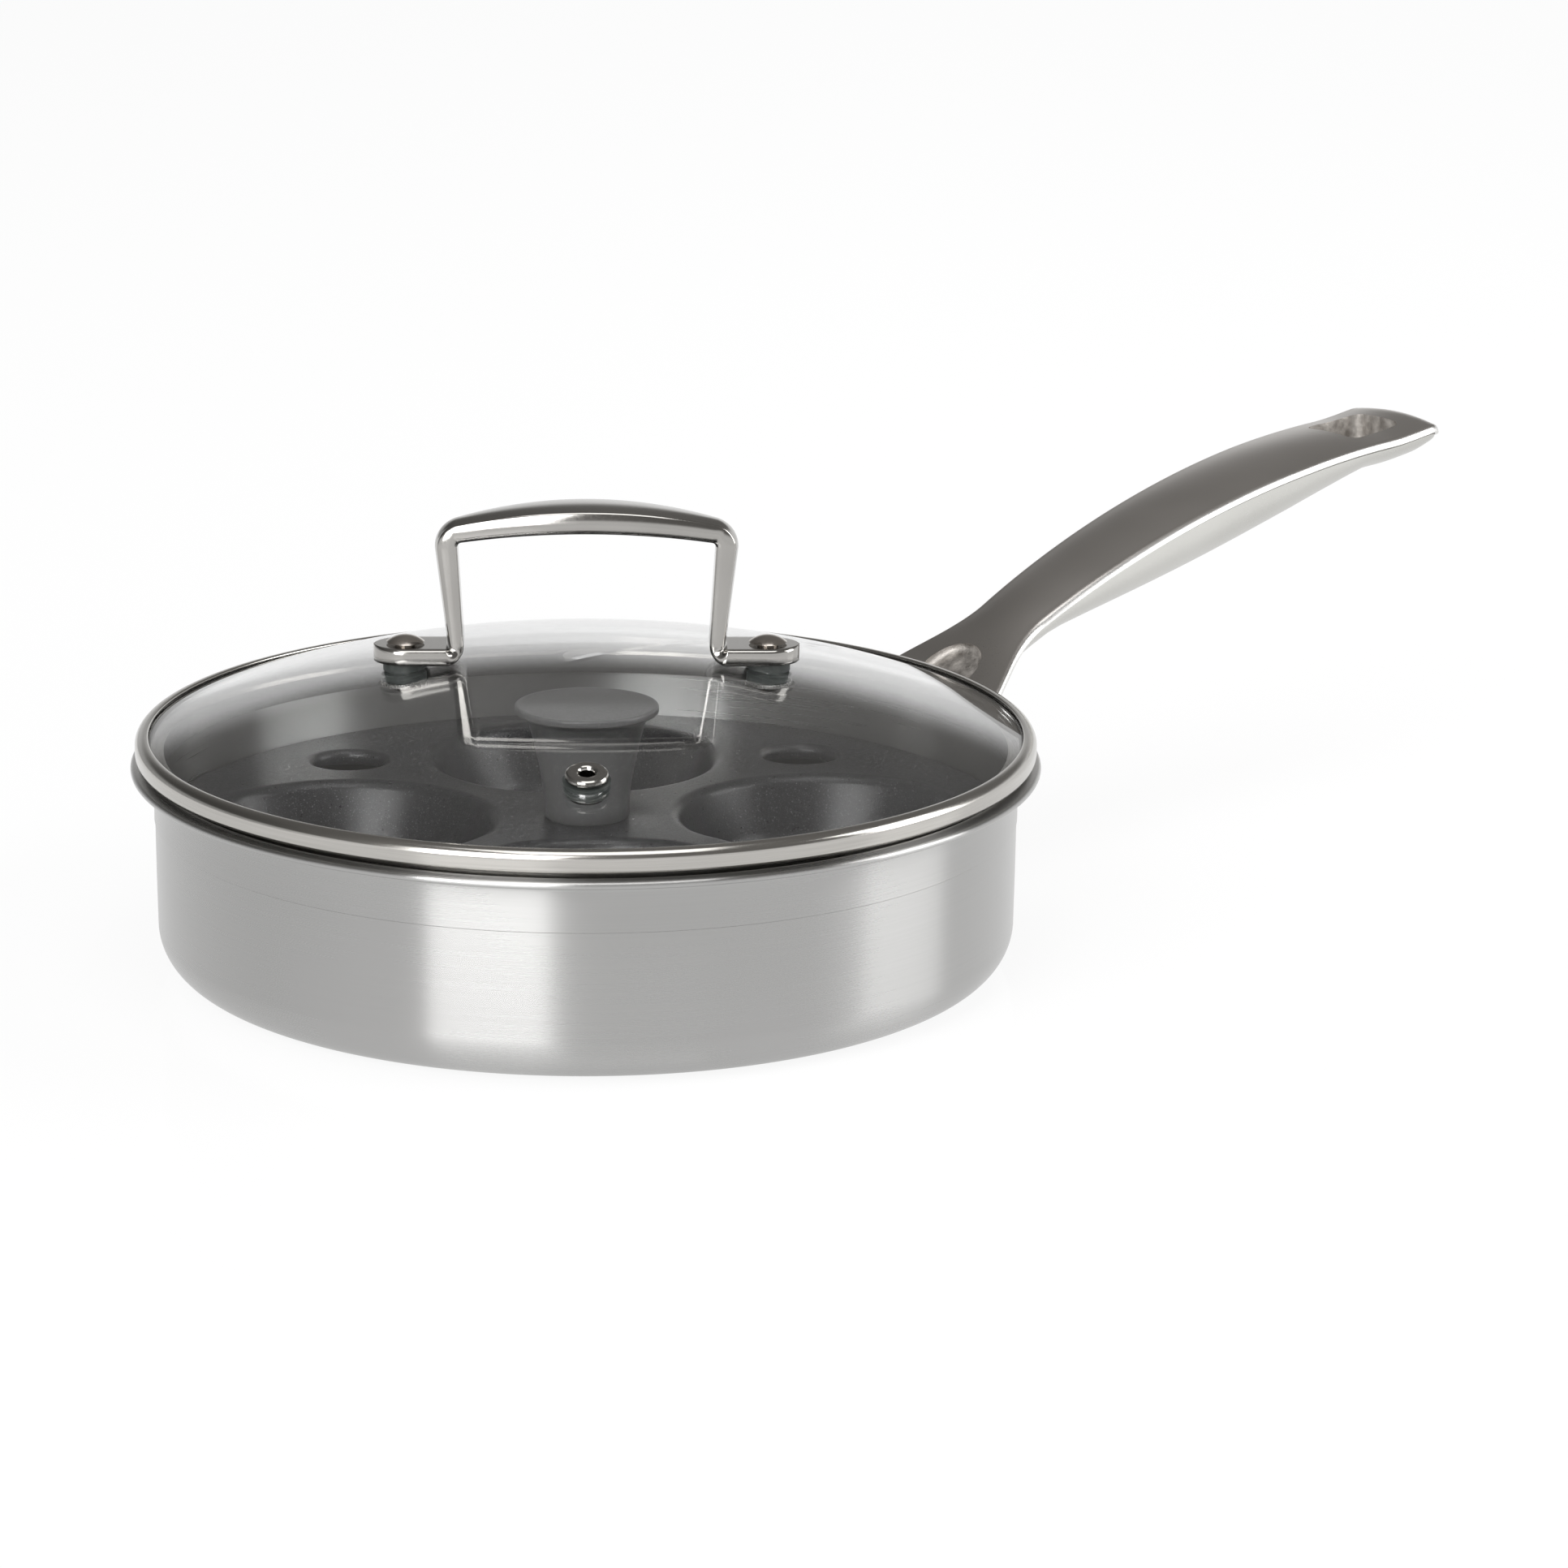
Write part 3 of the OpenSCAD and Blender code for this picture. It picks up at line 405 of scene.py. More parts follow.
pan = dict(wallR=102.0, footR=101.7, rimR=102.2, innerR=99.2, mouthR=100.5, floorT=3.2, height=49.5,
           ledgeZ=33.0, lineZ=36.5, line=0.2, cornerR=11.0, innerCornerR=8.2, flareR=2.0, rimT=1.7, lipR=107.6,
           polishedFrom=45.6,
           wallLowZ=24.0, taper=0.1, soft=0.2, innerTaper=0.3)


def makePan(p):
    flareX, flareZ, half = p["rimR"] + p["flareR"], p["height"] - p["rimT"] - p["flareR"], p["rimT"] / 2
    profile = [(0, 0)]
    profile += arc(p["footR"] - p["cornerR"], p["cornerR"], p["cornerR"], -90, 0, 24)
    profile += [(p["wallR"] - p["taper"], p["wallLowZ"]), (p["wallR"], p["lineZ"] - p["line"]),
                (p["rimR"], p["lineZ"])]
    profile += arc(flareX, flareZ, p["flareR"], 180, 90, 12)
    profile += arc(p["lipR"] - half, p["height"] - half, half, -90, 90, 12)
    profile += arc(flareX, flareZ, p["flareR"] + p["rimT"], 90, 180, 16)
    profile += [(p["mouthR"], p["ledgeZ"] + p["soft"]), (p["mouthR"] - p["soft"], p["ledgeZ"]),
                (p["innerR"] + p["soft"], p["ledgeZ"]), (p["innerR"], p["ledgeZ"] - p["soft"])]
    profile += arc(p["innerR"] - p["innerTaper"] - p["innerCornerR"], p["floorT"] + p["innerCornerR"],
                   p["innerCornerR"], 0, -90, 18)
    profile += [(0, p["floorT"])]
    piece = turned("panBody", profile, finishes["wallSteel"], 256, sharp=28)
    piece.data.materials.append(finishes["rimSteel"])
    for face in piece.data.polygons:
        if face.center.z > p["polishedFrom"] * mm:
            face.material_index = 1
    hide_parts("pan_body")
    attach(piece, "pan")


makePan(pan)
print("pan turned")


# handle of the pan

handle = dict(reach=283.0, tipZ=93.8, rootX=104.0, rootZ=38.0, rootLift=12.5, archShare=0.47, archLift=4.0,
              rootW=54.0, flareW=26.0, flarePower=1.9, neckX=139.0, neckW=23.3, gripW=30.4, gripRun=92.6, tipT=10.5,
              tipL=8.75, tipPower=4.1, endR=5.85, endLift=3.0, edgeT=3.4, edgeR=1.9, crown=1.25, bellyZ=57.3,
              bellyRise=0.245, bellyBow=2.3, bowL=110.0, rootDrop=19.0, dropEnd=150.0, stations=160, holeX=263.0,
              holeL=19.0, holeW=17.8, holeEndW=16.2, holeR=3.0, pocketAt=0.238, pocketR=8.6, pocketLong=1.1,
              pocketDepth=1.9, pocketTilt=34.0, pocketSoft=1.6, flangeIn=102.3, flangeOut=105.8, flangeLow=12.5,
              flangeHigh=39.5, flangeCorner=6.0, flangeTaper=11.0, flangeSoft=1.0, flareRoom=0.555, swellShare=0.3,
              liftFrom=21.0, liftTo=9.0, endShare=0.79, rootPower=2.5, tipShare=0.3, ribRoot=9.0, ribEdge=1.2,
              ribFrom=20.0, ribTo=5.0, inset=0.95, grooveH=0.55, wrapFrom=4.0, wrapTo=3.5)


def handlePoint(p, t):
    curve = ((p["rootX"], p["rootZ"]), (p["rootX"], p["rootZ"] + p["rootLift"]),
             (p["rootX"] + (p["reach"] - p["rootX"]) * p["archShare"], p["tipZ"] + p["archLift"]),
             (p["reach"], p["tipZ"]))
    weights = ((1 - t) ** 3, 3 * (1 - t) ** 2 * t, 3 * (1 - t) * t * t, t ** 3)
    return (sum(w * c[0] for w, c in zip(weights, curve)), sum(w * c[1] for w, c in zip(weights, curve)))


def handleRing(p, t):
    x, z = handlePoint(p, t)
    tipStart = p["reach"] - p["tipL"]
    if x < p["neckX"]:
        grown = p["flareW"] * ((p["neckX"] - x) / (p["neckX"] - p["rootX"])) ** p["flarePower"]
        side = p["neckW"] + 2 * grown / math.hypot(1, grown / (p["flareRoom"] * (p["rootW"] - p["neckW"])))
    else:
        share = min((x - p["neckX"]) / p["gripRun"], 1)
        side = p["neckW"] + (p["gripW"] - p["neckW"]) * share * (1 + p["swellShare"] * (1 - share))
    end = max((x - tipStart) / p["tipL"], 0)
    tipRound = max(1 - end ** p["tipPower"], 0.0004) ** (1 / p["tipPower"])
    fall = max(x - p["reach"] + p["endR"], 0)
    z += p["endLift"] * rise(x, p["reach"] - p["liftFrom"], p["reach"] + p["liftTo"])
    z -= p["endShare"] * (p["endR"] - math.sqrt(max(p["endR"] ** 2 - fall ** 2, 0)))
    w = side * tipRound
    bow = math.sin(min(max((x - p["dropEnd"]) / p["bowL"], 0), 1) * math.pi)
    belly = p["bellyZ"] + p["bellyRise"] * (x - p["dropEnd"]) - p["bellyBow"] * bow
    if x < p["dropEnd"]:
        belly -= p["rootDrop"] * ((p["dropEnd"] - x) / (p["dropEnd"] - p["rootX"])) ** p["rootPower"]
    left = p["tipShare"] + (1 - p["tipShare"]) * math.sqrt(max(1 - end ** 2, 0))
    depth = (z - min(belly, z - p["tipT"])) * left
    a = w / 2
    grown = rise(x, p["neckX"] - p["ribFrom"], p["neckX"] + p["ribTo"])
    rib = min(a - p["ribEdge"], p["ribRoot"] + (a - p["ribEdge"] - p["ribRoot"]) * grown, a * p["inset"])
    e = min(p["edgeR"], a * 0.5)
    soft = min(p["edgeT"], depth * 0.5)
    flat = max(a - e, 0.01)
    crown = p["crown"] * min(1, a / 8)
    half = [(flat * i / 10, -crown * (i / 10) ** 2) for i in range(11)]
    half += [(flat + e * math.cos(math.radians(q)), -crown - e + e * math.sin(math.radians(q)))
             for q in range(80, -1, -10)]
    half += [(rib, -soft), (rib * 0.999, -soft - min(p["grooveH"], (depth - soft) * 0.1))]
    half += [(rib * math.cos(math.radians(q)), -soft - (depth - soft) * math.sin(math.radians(q)))
             for q in range(7, 85, 7)]
    half += [(0, -depth)]
    ring = half + [(-u, v) for u, v in half[-2:0:-1]]
    wrapShare = 1 - rise(x, p["rootX"] + p["wrapFrom"], p["neckX"] - p["wrapTo"])
    return [(x - (x - math.sqrt(x * x - u * u)) * wrapShare, u, z + v) for u, v in ring]


def flangeRing(p, z):
    # one level of the flange: follows the wall, narrower towards its rounded lower corners
    r, high, low, half = p["flangeCorner"], p["flangeHigh"], p["flangeLow"], p["rootW"] / 2
    lowHalf = half - p["flangeTaper"]
    share = (z - low) / (high - low)
    side = lowHalf + (half - lowHalf) * min(1, share * 1.05)
    for edge in (high, low):
        near = abs(z - edge)
        if near < r:
            side -= r - math.sqrt(max(r * r - (r - near) ** 2, 0))
    soft = p["flangeSoft"]
    near = min(abs(z - high), abs(z - low))
    outer = p["flangeOut"] - (soft - math.sqrt(max(soft ** 2 - (soft - near) ** 2, 0)) if near < soft else 0)
    ring = []
    for i in range(25):
        y = side * (1 - 2 * i / 24)
        ring.append((math.sqrt(p["flangeIn"] ** 2 - y * y), y, z))
    for i in range(25):
        y = side * (-1 + 2 * i / 24)
        shy = soft * (1 - math.sqrt(max(1 - max(0, (abs(y) - side + soft) / soft) ** 2, 0)))
        ring.append((math.sqrt((outer - min(shy, 0.8)) ** 2 - y * y), y, z))
    return ring


def taperedBlock(name, length, width, endWidth, r, low, high, kind):
    # upright block with rounded corners, narrower at its far end, for cutting the hanging hole
    corners = []
    for x, half, side, start in ((1, endWidth, 1, 0), (-1, width, 1, 90), (-1, width, -1, 180),
                                 (1, endWidth, -1, 270)):
        corners += arc(x * (length / 2 - r), side * (half / 2 - r), r, start, start + 90, 10)
    return lofted(name, [[(x, y, z) for x, y in corners] for z in (low, high)], [kind])


def makeHandle(p):
    rings = []
    for i in range(p["stations"] + 1):
        t = i / p["stations"]
        t = t / 0.9 * 0.93 if t < 0.9 else 0.93 + 0.07 * math.sin((t - 0.9) / 0.1 * math.pi / 2)
        rings.append(handleRing(p, t))
    # columns of a ring: 14 across the top and into the rounding, 6 over the polished edge painted lighter as its
    # highlight, 1 along the groove painted dark as its shade,
    # 13 round the belly, then the other half
    side = [0] * 14 + [1] * 6 + [4] + [2] * 13
    body = lofted("handleBody", rings, ("handleTop", "handleEdgeHighlight", "handleBelly", "roughCasting", "grooveShade"),
                  side + side[::-1])
    # the cutter of the hole goes right through the handle
    hole = taperedBlock("holeCutter", p["holeL"], p["holeW"], p["holeEndW"], p["holeR"], 0, 2 * p["tipZ"],
                        "roughCasting")
    hole.data.transform(Matrix.Translation((p["holeX"] * mm, 0, 0)))
    x, z = handlePoint(p, p["pocketAt"])
    soft, top = p["pocketSoft"], 12
    scoop = [(0, 0), (p["pocketR"] - soft, 0)] + arc(p["pocketR"] - soft, soft, soft, -90, 0, 6)
    scoop += [(p["pocketR"], top), (0, top)]
    pocket = turned("pocketCutter", scoop, finishes["roughCasting"], 48)
    tilt = math.radians(p["pocketTilt"])
    pocket.data.transform(Matrix.Translation(((x + p["pocketDepth"] * math.sin(tilt)) * mm, 0,
                                              (z - p["pocketDepth"] * math.cos(tilt)) * mm))
                          @ Matrix.Rotation(-tilt, 4, "Y")
                          @ Matrix.Diagonal((p["pocketLong"], 1, 1, 1)))
    for cutter in (hole, pocket):
        cut = body.modifiers.new("cut", "BOOLEAN")
        cut.operation, cut.solver, cut.object = "DIFFERENCE", "EXACT", cutter
        cut.material_mode = "TRANSFER"
    piece = settle(body, "panHandleBody", True, 42)
    bpy.data.objects.remove(hole)
    bpy.data.objects.remove(pocket)
    levels = [p["flangeLow"] + (p["flangeHigh"] - p["flangeLow"]) * i / 54 for i in range(55)]
    levels = sorted(levels + [p["flangeLow"] + 0.15, p["flangeHigh"] - 0.15])
    flange = lofted("handleFlange", [flangeRing(p, level) for level in levels], ["handleTop"])
    flange.data.set_sharp_from_angle(angle=math.radians(42))
    for obj in (piece, flange):
        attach(obj, "pan")
    weighted = piece.modifiers.new("weighted", "WEIGHTED_NORMAL")
    weighted.keep_sharp = True
    bpy.context.view_layer.update()
    mesh = bpy.data.meshes.new_from_object(piece.evaluated_get(bpy.context.evaluated_depsgraph_get()))
    piece.modifiers.clear()
    piece.data = mesh
    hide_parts("pan_handle")
    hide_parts("pan_handle")


makeHandle(handle)
print("handle lofted")


# tray with its cups and knob

tray = dict(cups=4, turn=-37.0, topZ=34.2, sheet=1.2, edgeR=100.1, cupRing=56.5, cupR=37.0, cupEdge=3.5,
            cupDepth=19.0, cupFloor=19.0, lowR=11.0, steamRing=78.5, steamR=8.9, steamEdge=2.0, steamDrop=1.5,
            screwR=2.6, margin=0.3)


def makeTrayTree():
    # a disc with round openings, a cup or a steam collar set in each of them
    tree, given, result = newTree("trayWithCups", [
        ("Cup", "NodeSocketObject", None), ("Collar", "NodeSocketObject", None),
        ("Cups", "NodeSocketInt", 4), ("Edge Radius", "NodeSocketFloat", 0.1),
        ("Cup Ring", "NodeSocketFloat", 0.05), ("Cup Opening", "NodeSocketFloat", 0.036),
        ("Steam Ring", "NodeSocketFloat", 0.07), ("Steam Opening", "NodeSocketFloat", 0.011),
        ("Screw Radius", "NodeSocketFloat", 0.0026), ("Height", "NodeSocketFloat", 0.04),
        ("Turn", "NodeSocketFloat", 0.0), ("Finish", "NodeSocketMaterial", None)])
    give = given.outputs

    def circle(radius, steps):
        return put(tree, "GeometryNodeCurvePrimitiveCircle", {"Radius": radius, "Resolution": steps}).outputs[0]

    cupPlaces = circle(give["Cup Ring"], give["Cups"])
    between = put(tree, "ShaderNodeCombineXYZ", {2: maths(tree, "DIVIDE", math.pi, give["Cups"])})
    steamPlaces = put(tree, "GeometryNodeTransform", {
        "Geometry": circle(give["Steam Ring"], give["Cups"]), "Rotation": between.outputs[0]}).outputs[0]

    def onPlaces(places, instance):
        made = put(tree, "GeometryNodeInstanceOnPoints", {"Points": places, "Instance": instance})
        return put(tree, "GeometryNodeRealizeInstances", {"Geometry": made.outputs[0]}).outputs[0]

    outline = tree.nodes.new("GeometryNodeJoinGeometry")
    for curve in (circle(give["Edge Radius"], 240), circle(give["Screw Radius"], 32),
                  onPlaces(cupPlaces, circle(give["Cup Opening"], 120)),
                  onPlaces(steamPlaces, circle(give["Steam Opening"], 64))):
        tree.links.new(curve, outline.inputs[0])
    sheet = put(tree, "GeometryNodeFillCurve", {"Curve": outline.outputs[0]})
    raised = put(tree, "ShaderNodeCombineXYZ", {2: give["Height"]})
    lifted = put(tree, "GeometryNodeTransform", {"Geometry": sheet.outputs[0],
                                                 "Translation": raised.outputs[0]})
    everything = tree.nodes.new("GeometryNodeJoinGeometry")
    tree.links.new(lifted.outputs[0], everything.inputs[0])
    for part, places in (("Cup", cupPlaces), ("Collar", steamPlaces)):
        info = put(tree, "GeometryNodeObjectInfo", {"Object": give[part]})
        tree.links.new(onPlaces(places, info.outputs["Geometry"]), everything.inputs[0])
    welded = put(tree, "GeometryNodeMergeByDistance", {"Geometry": everything.outputs[0], "Distance": 0.00002})
    swing = put(tree, "ShaderNodeCombineXYZ", {2: give["Turn"]})
    swung = put(tree, "GeometryNodeTransform", {"Geometry": welded.outputs[0], "Rotation": swing.outputs[0]})
    real = put(tree, "GeometryNodeRealizeInstances", {"Geometry": swung.outputs[0]})
    finish = put(tree, "GeometryNodeSetMaterial", {"Geometry": real.outputs[0], "Material": give["Finish"]})
    tree.links.new(finish.outputs[0], result.inputs[0])
    return tree


def makeTray(p):
    top, edge = p["topZ"], p["cupEdge"]
    bowl = [(p["cupR"] + p["margin"], top)] + arc(p["cupR"], top - edge, edge, 90, 160, 12)
    bowl += arc(p["cupFloor"], top - p["cupDepth"] + p["lowR"], p["lowR"], -20, -90, 14)
    bowl += [(8, top - p["cupDepth"]), (0, top - p["cupDepth"])]
    cup = turned("cupForm", bowl, finishes["trayCoating"], 120, False, None)
    collarR = p["steamR"] + p["steamEdge"]
    bend = [(collarR + p["margin"], top)] + arc(collarR, top - p["steamEdge"], p["steamEdge"], 90, 180, 8)
    bend += [(p["steamR"], top - p["steamEdge"] - p["steamDrop"])]
    collar = turned("collarForm", bend, finishes["trayCoating"], 64, False, None)
    trayTree = makeTrayTree()
    obj = source("trayStart", [(0, 0, 0)])
    modifier = obj.modifiers.new("tray", "NODES")
    modifier.node_group = trayTree
    setInputs(modifier, trayTree, {
        "Cup": cup, "Collar": collar, "Cups": p["cups"], "Edge Radius": p["edgeR"] * mm,
        "Cup Ring": p["cupRing"] * mm, "Cup Opening": (p["cupR"] + p["margin"]) * mm,
        "Steam Ring": p["steamRing"] * mm, "Steam Opening": (collarR + p["margin"]) * mm,
        "Screw Radius": p["screwR"] * mm, "Height": top * mm, "Turn": math.radians(p["turn"]),
        "Finish": finishes["trayCoating"]})
    sheet = settle(obj, "traySheet", False, None)
    bpy.data.objects.remove(cup)
    bpy.data.objects.remove(collar)
    # all faces of the sheet look up, then it gets its thickness below
    bm = bmesh.new()
    bm.from_mesh(sheet.data)
    bmesh.ops.recalc_face_normals(bm, faces=bm.faces)
    flat = max(bm.faces, key=lambda f: f.calc_area())
    if flat.normal.z < 0:
        bmesh.ops.reverse_faces(bm, faces=bm.faces)
    bm.to_mesh(sheet.data)
    bm.free()
    wall = sheet.modifiers.new("sheet", "SOLIDIFY")
    wall.thickness, wall.offset, wall.use_even_offset = p["sheet"] * mm, -1.0, True
    soft = sheet.modifiers.new("soft", "BEVEL")
    soft.width, soft.segments, soft.limit_method = 0.25 * mm, 2, "ANGLE"
    soft.angle_limit = math.radians(60)
    piece = settle(sheet, "eggTray", False, 40)
    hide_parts("egg_tray")
    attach(piece, "tray")


makeTray(tray)
print("tray drawn")

knob = dict(lowZ=34.2, height=26.6, footR=10.0, neckR=14.0, topR=17.0, boreR=4.55, boreH=12.5, edgeR=0.55)


def makeKnob(p):
    low, high = p["lowZ"], p["lowZ"] + p["height"]
    side = [(p["footR"] - 0.4, low), (p["footR"], low + 0.4), (p["footR"], low + 3.5), (p["footR"] + 0.6, low + 8.5),
            (p["footR"] + 1.5, low + 13.2), (p["footR"] + 2.6, low + 18), (p["neckR"] - 0.5, high - 5.1)]
    profile = [(0, low + p["boreH"]), (p["boreR"], low + p["boreH"]), (p["boreR"], low)] + side
    profile += arc(p["topR"] - 0.4, high - 4.6, 2.8, 165, 115, 5)
    profile += arc(p["topR"] - 0.5, high - 1.3, 0.5, -70, 0, 5)
    profile += arc(p["topR"] - p["edgeR"], high - p["edgeR"], p["edgeR"], 0, 90, 8)
    profile += [(p["topR"] - 1.3, high), (p["topR"] - 1.5, high - 0.1), (0, high - 0.1)]
    piece = turned("trayKnob", profile, finishes["knobMoulding"], 128, sharp=45)
    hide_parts("tray_knob")
    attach(piece, "tray")


makeKnob(knob)
print("knob moulded")


# lid

band = dict(r=106.5, z=50.8, h=5.6, rollR=2.3, lowRollR=1.7, channelR=104.9, seatR=101.5, footR=101.6, restZ=48.43,
            skirtR=99.9, skirtT=0.8, skirtZ=45.5, sheet=0.75)


def makeBand(p):
    top = p["z"] + p["h"]
    roll = p["rollR"]
    profile = [(p["skirtR"] - p["skirtT"], p["skirtZ"] + 0.2), (p["skirtR"] - p["skirtT"] + 0.2, p["skirtZ"]),
               (p["skirtR"] - 0.2, p["skirtZ"]), (p["skirtR"], p["skirtZ"] + 0.2), (p["skirtR"], p["restZ"]),
               (p["footR"] - 0.3, p["restZ"]), (p["footR"], p["restZ"] + 0.3), (p["footR"], p["z"])]
    profile += arc(p["r"] - p["lowRollR"], p["z"] + p["lowRollR"], p["lowRollR"], -90, 0, 8)
    profile += arc(p["r"] - roll, top - roll, roll, 0, 90, 14)
    profile += [(p["channelR"] - 1.2, top)] + arc(p["channelR"] - 1.2, top - 0.4, 0.4, 90, 270, 8)
    profile += [(p["channelR"], top - 0.8), (p["channelR"], p["z"] + p["sheet"]), (p["seatR"], p["z"] + p["sheet"]),
                (p["seatR"], p["z"]), (p["skirtR"] - p["skirtT"], p["z"]),
                (p["skirtR"] - p["skirtT"], p["skirtZ"] + 0.2)]
    piece = turned("lidBand", profile, finishes["bandSteelShaded"], 256, sharp=40)
    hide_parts("lid_band")
    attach(piece, "lid")


makeBand(band)

bail = dict(turn=-40.0, footZ=73.48, footT=4.0, footW=15.0, rivetX=42.7, riseH=33.45, barT=6.0, barW=16.5,
            waistW=9.5, legT=3.9, legX=31.4, lean=2.4, arch=3.2, cornerR=4.0, bendR=2.3, topEdgeR=0.9, lowEdgeR=1.0,
            crown=0.5, sideLean=26.0, footLean=12.0)


def swept(x, z, r, start, end, steps):
    # an arc with the heading of the line at each point
    return [(px, pz, start + (end - start) * i / steps - 90)
            for i, (px, pz) in enumerate(arc(x, z, r, start, end, steps))]


def bailLine(p):
    # middle line of one half as (x, z, tangent angle, thickness, width), from the middle of the bar to the foot
    footTop = p["footZ"] + p["footT"]
    midZ = footTop + p["riseH"] - p["barT"] / 2
    half = p["legX"] + p["lean"] - p["cornerR"]
    curveR = (half ** 2 + p["arch"] ** 2) / (2 * p["arch"])
    tilt = math.degrees(math.asin(half / curveR))
    lean = math.degrees(math.atan(p["lean"] / (p["riseH"] - p["arch"] - p["cornerR"])))
    cx = half - p["cornerR"] * math.sin(math.radians(tilt))
    cz = midZ - p["arch"] - p["cornerR"] * math.cos(math.radians(tilt))
    line = swept(0, midZ - curveR, curveR, 90, 90 - tilt, 24)
    line += swept(cx, cz, p["cornerR"], 90 - tilt, -lean, 18)[1:]
    # the leg runs down to the bend, the bend turns out into the foot
    topX, topZ, heading = line[-1]
    down = math.radians(heading)
    startZ = p["footZ"] + p["footT"] / 2 + p["bendR"] * (1 - math.sin(math.radians(lean)))
    length = (topZ - startZ) / -math.sin(down)
    line += [(topX + math.cos(down) * length * i / 16, topZ + math.sin(down) * length * i / 16, heading)
             for i in range(1, 17)]
    lastX, lastZ, _ = line[-1]
    side = math.radians(heading + 90)
    bx, bz = lastX + p["bendR"] * math.cos(side), lastZ + p["bendR"] * math.sin(side)
    for i in range(1, 15):
        a = heading * (1 - i / 14)
        out = math.radians(a - 90)
        line.append((bx + p["bendR"] * math.cos(out), bz + p["bendR"] * math.sin(out), a))
    x0, endX = line[-1][0], p["rivetX"] + p["footW"] / 2
    for i in range(1, 13):
        line.append((x0 + (p["rivetX"] - x0) * i / 12, line[-1][1], 0))
    for i in range(1, 19):
        x = p["rivetX"] + (endX - p["rivetX"]) * math.sin(i / 18 * math.pi / 2)
        line.append((x, line[-1][1], 0))
    return line, footTop, cz


def bailSection(x, z, angle, t, w, topSoft, lowSoft, crown, lean):
    # crowned top, tight upper edge, a side that swells from the slope "lean" to just under upright, softer lower edge
    high, low = min(topSoft, t / 3, w / 3), min(lowSoft, t / 3, w / 3)
    swell = min(crown, t / 4)
    under = -8
    a, b = math.radians(lean), math.radians(under)
    upper = t / 2 - swell - high + high * math.sin(a)
    lower = low - t / 2 + low * math.sin(b)
    big = (upper - lower) / (math.sin(a) - math.sin(b))
    flat = max(w / 2 - big * (1 - math.cos(a)) - high * math.cos(a), 0.02)
    centre = w / 2 - big
    half = [(flat * i / 6, t / 2 - swell * (i / 6) ** 2) for i in range(6)]
    half += arc(flat, t / 2 - swell - high, high, 90, lean, 6)
    half += arc(centre, upper - big * math.sin(a), big, lean, under, 8)[1:]
    half += arc(centre + (big - low) * math.cos(b), low - t / 2, low, under, -90, 5)[1:]
    half += [(half[-1][0] * k / 4, -t / 2) for k in (3, 2, 1, 0)]
    points = half + [(-u, v) for u, v in half[-2:0:-1]]
    rad = math.radians(angle)
    nx, nz = -math.sin(rad), math.cos(rad)
    return [(x + nx * v, u, z + nz * v) for u, v in points]


def makeBail(p):
    line, footTop, cornerZ = bailLine(p)
    rings = []
    for x, z, angle in line:
        share = min(max((z - footTop) / p["riseH"], 0), 1)
        side, over = min(abs(x) / p["legX"], 1), min(max((z - cornerZ) / p["cornerR"], 0), 1)
        t = p["legT"] + (p["barT"] - p["legT"]) * share - 0.7 * over * side ** 2
        legW = p["waistW"] + (p["footW"] - 3.5 - p["waistW"]) * (1 - share) ** 1.5
        w = legW + (p["barW"] - legW) * over * (1 - side ** 2)
        foot = rise(-abs(angle), -75, -5) if z < footTop + 6 else 0
        t += (p["footT"] - t) * foot
        w += (p["footW"] - w) * foot
        if x > p["rivetX"]:
            reach = (x - p["rivetX"]) / (p["footW"] / 2)
            w = p["footW"] * math.sqrt(max(1 - reach ** 2, 0.0009))
        rings.append(bailSection(x, z, angle, t, w, p["topEdgeR"], p["lowEdgeR"], p["crown"] * (1 - foot),
                                 p["sideLean"] + (p["footLean"] - p["sideLean"]) * foot))
    # the other half is the same, mirrored
    mirrored = [[(-x, y, z) for x, y, z in ring] for ring in rings[:0:-1]]
    piece = lofted("lidBail", mirrored + rings, ["bailSteel"])
    piece.data.transform(Matrix.Rotation(math.radians(p["turn"]), 4, "Z"))
    piece.data.set_sharp_from_angle(angle=math.radians(50))
    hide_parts("lid_handle")
    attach(piece, "lid")


makeBail(bail)
print("band and bail made")

# rivets, pads and washers of the lid: one turned form each, set at both feet
fasteners = dict(x=42.7, turn=-40.0, rivetHeadR=4.5, rivetHeadH=1.6, rivetR=2.45, footTop=77.48, footT=4.0, padR=5.3,
                 glassTop=71.18, glassLow=67.95, padLow=65.98, washerR=5.5, washerT=0.9)


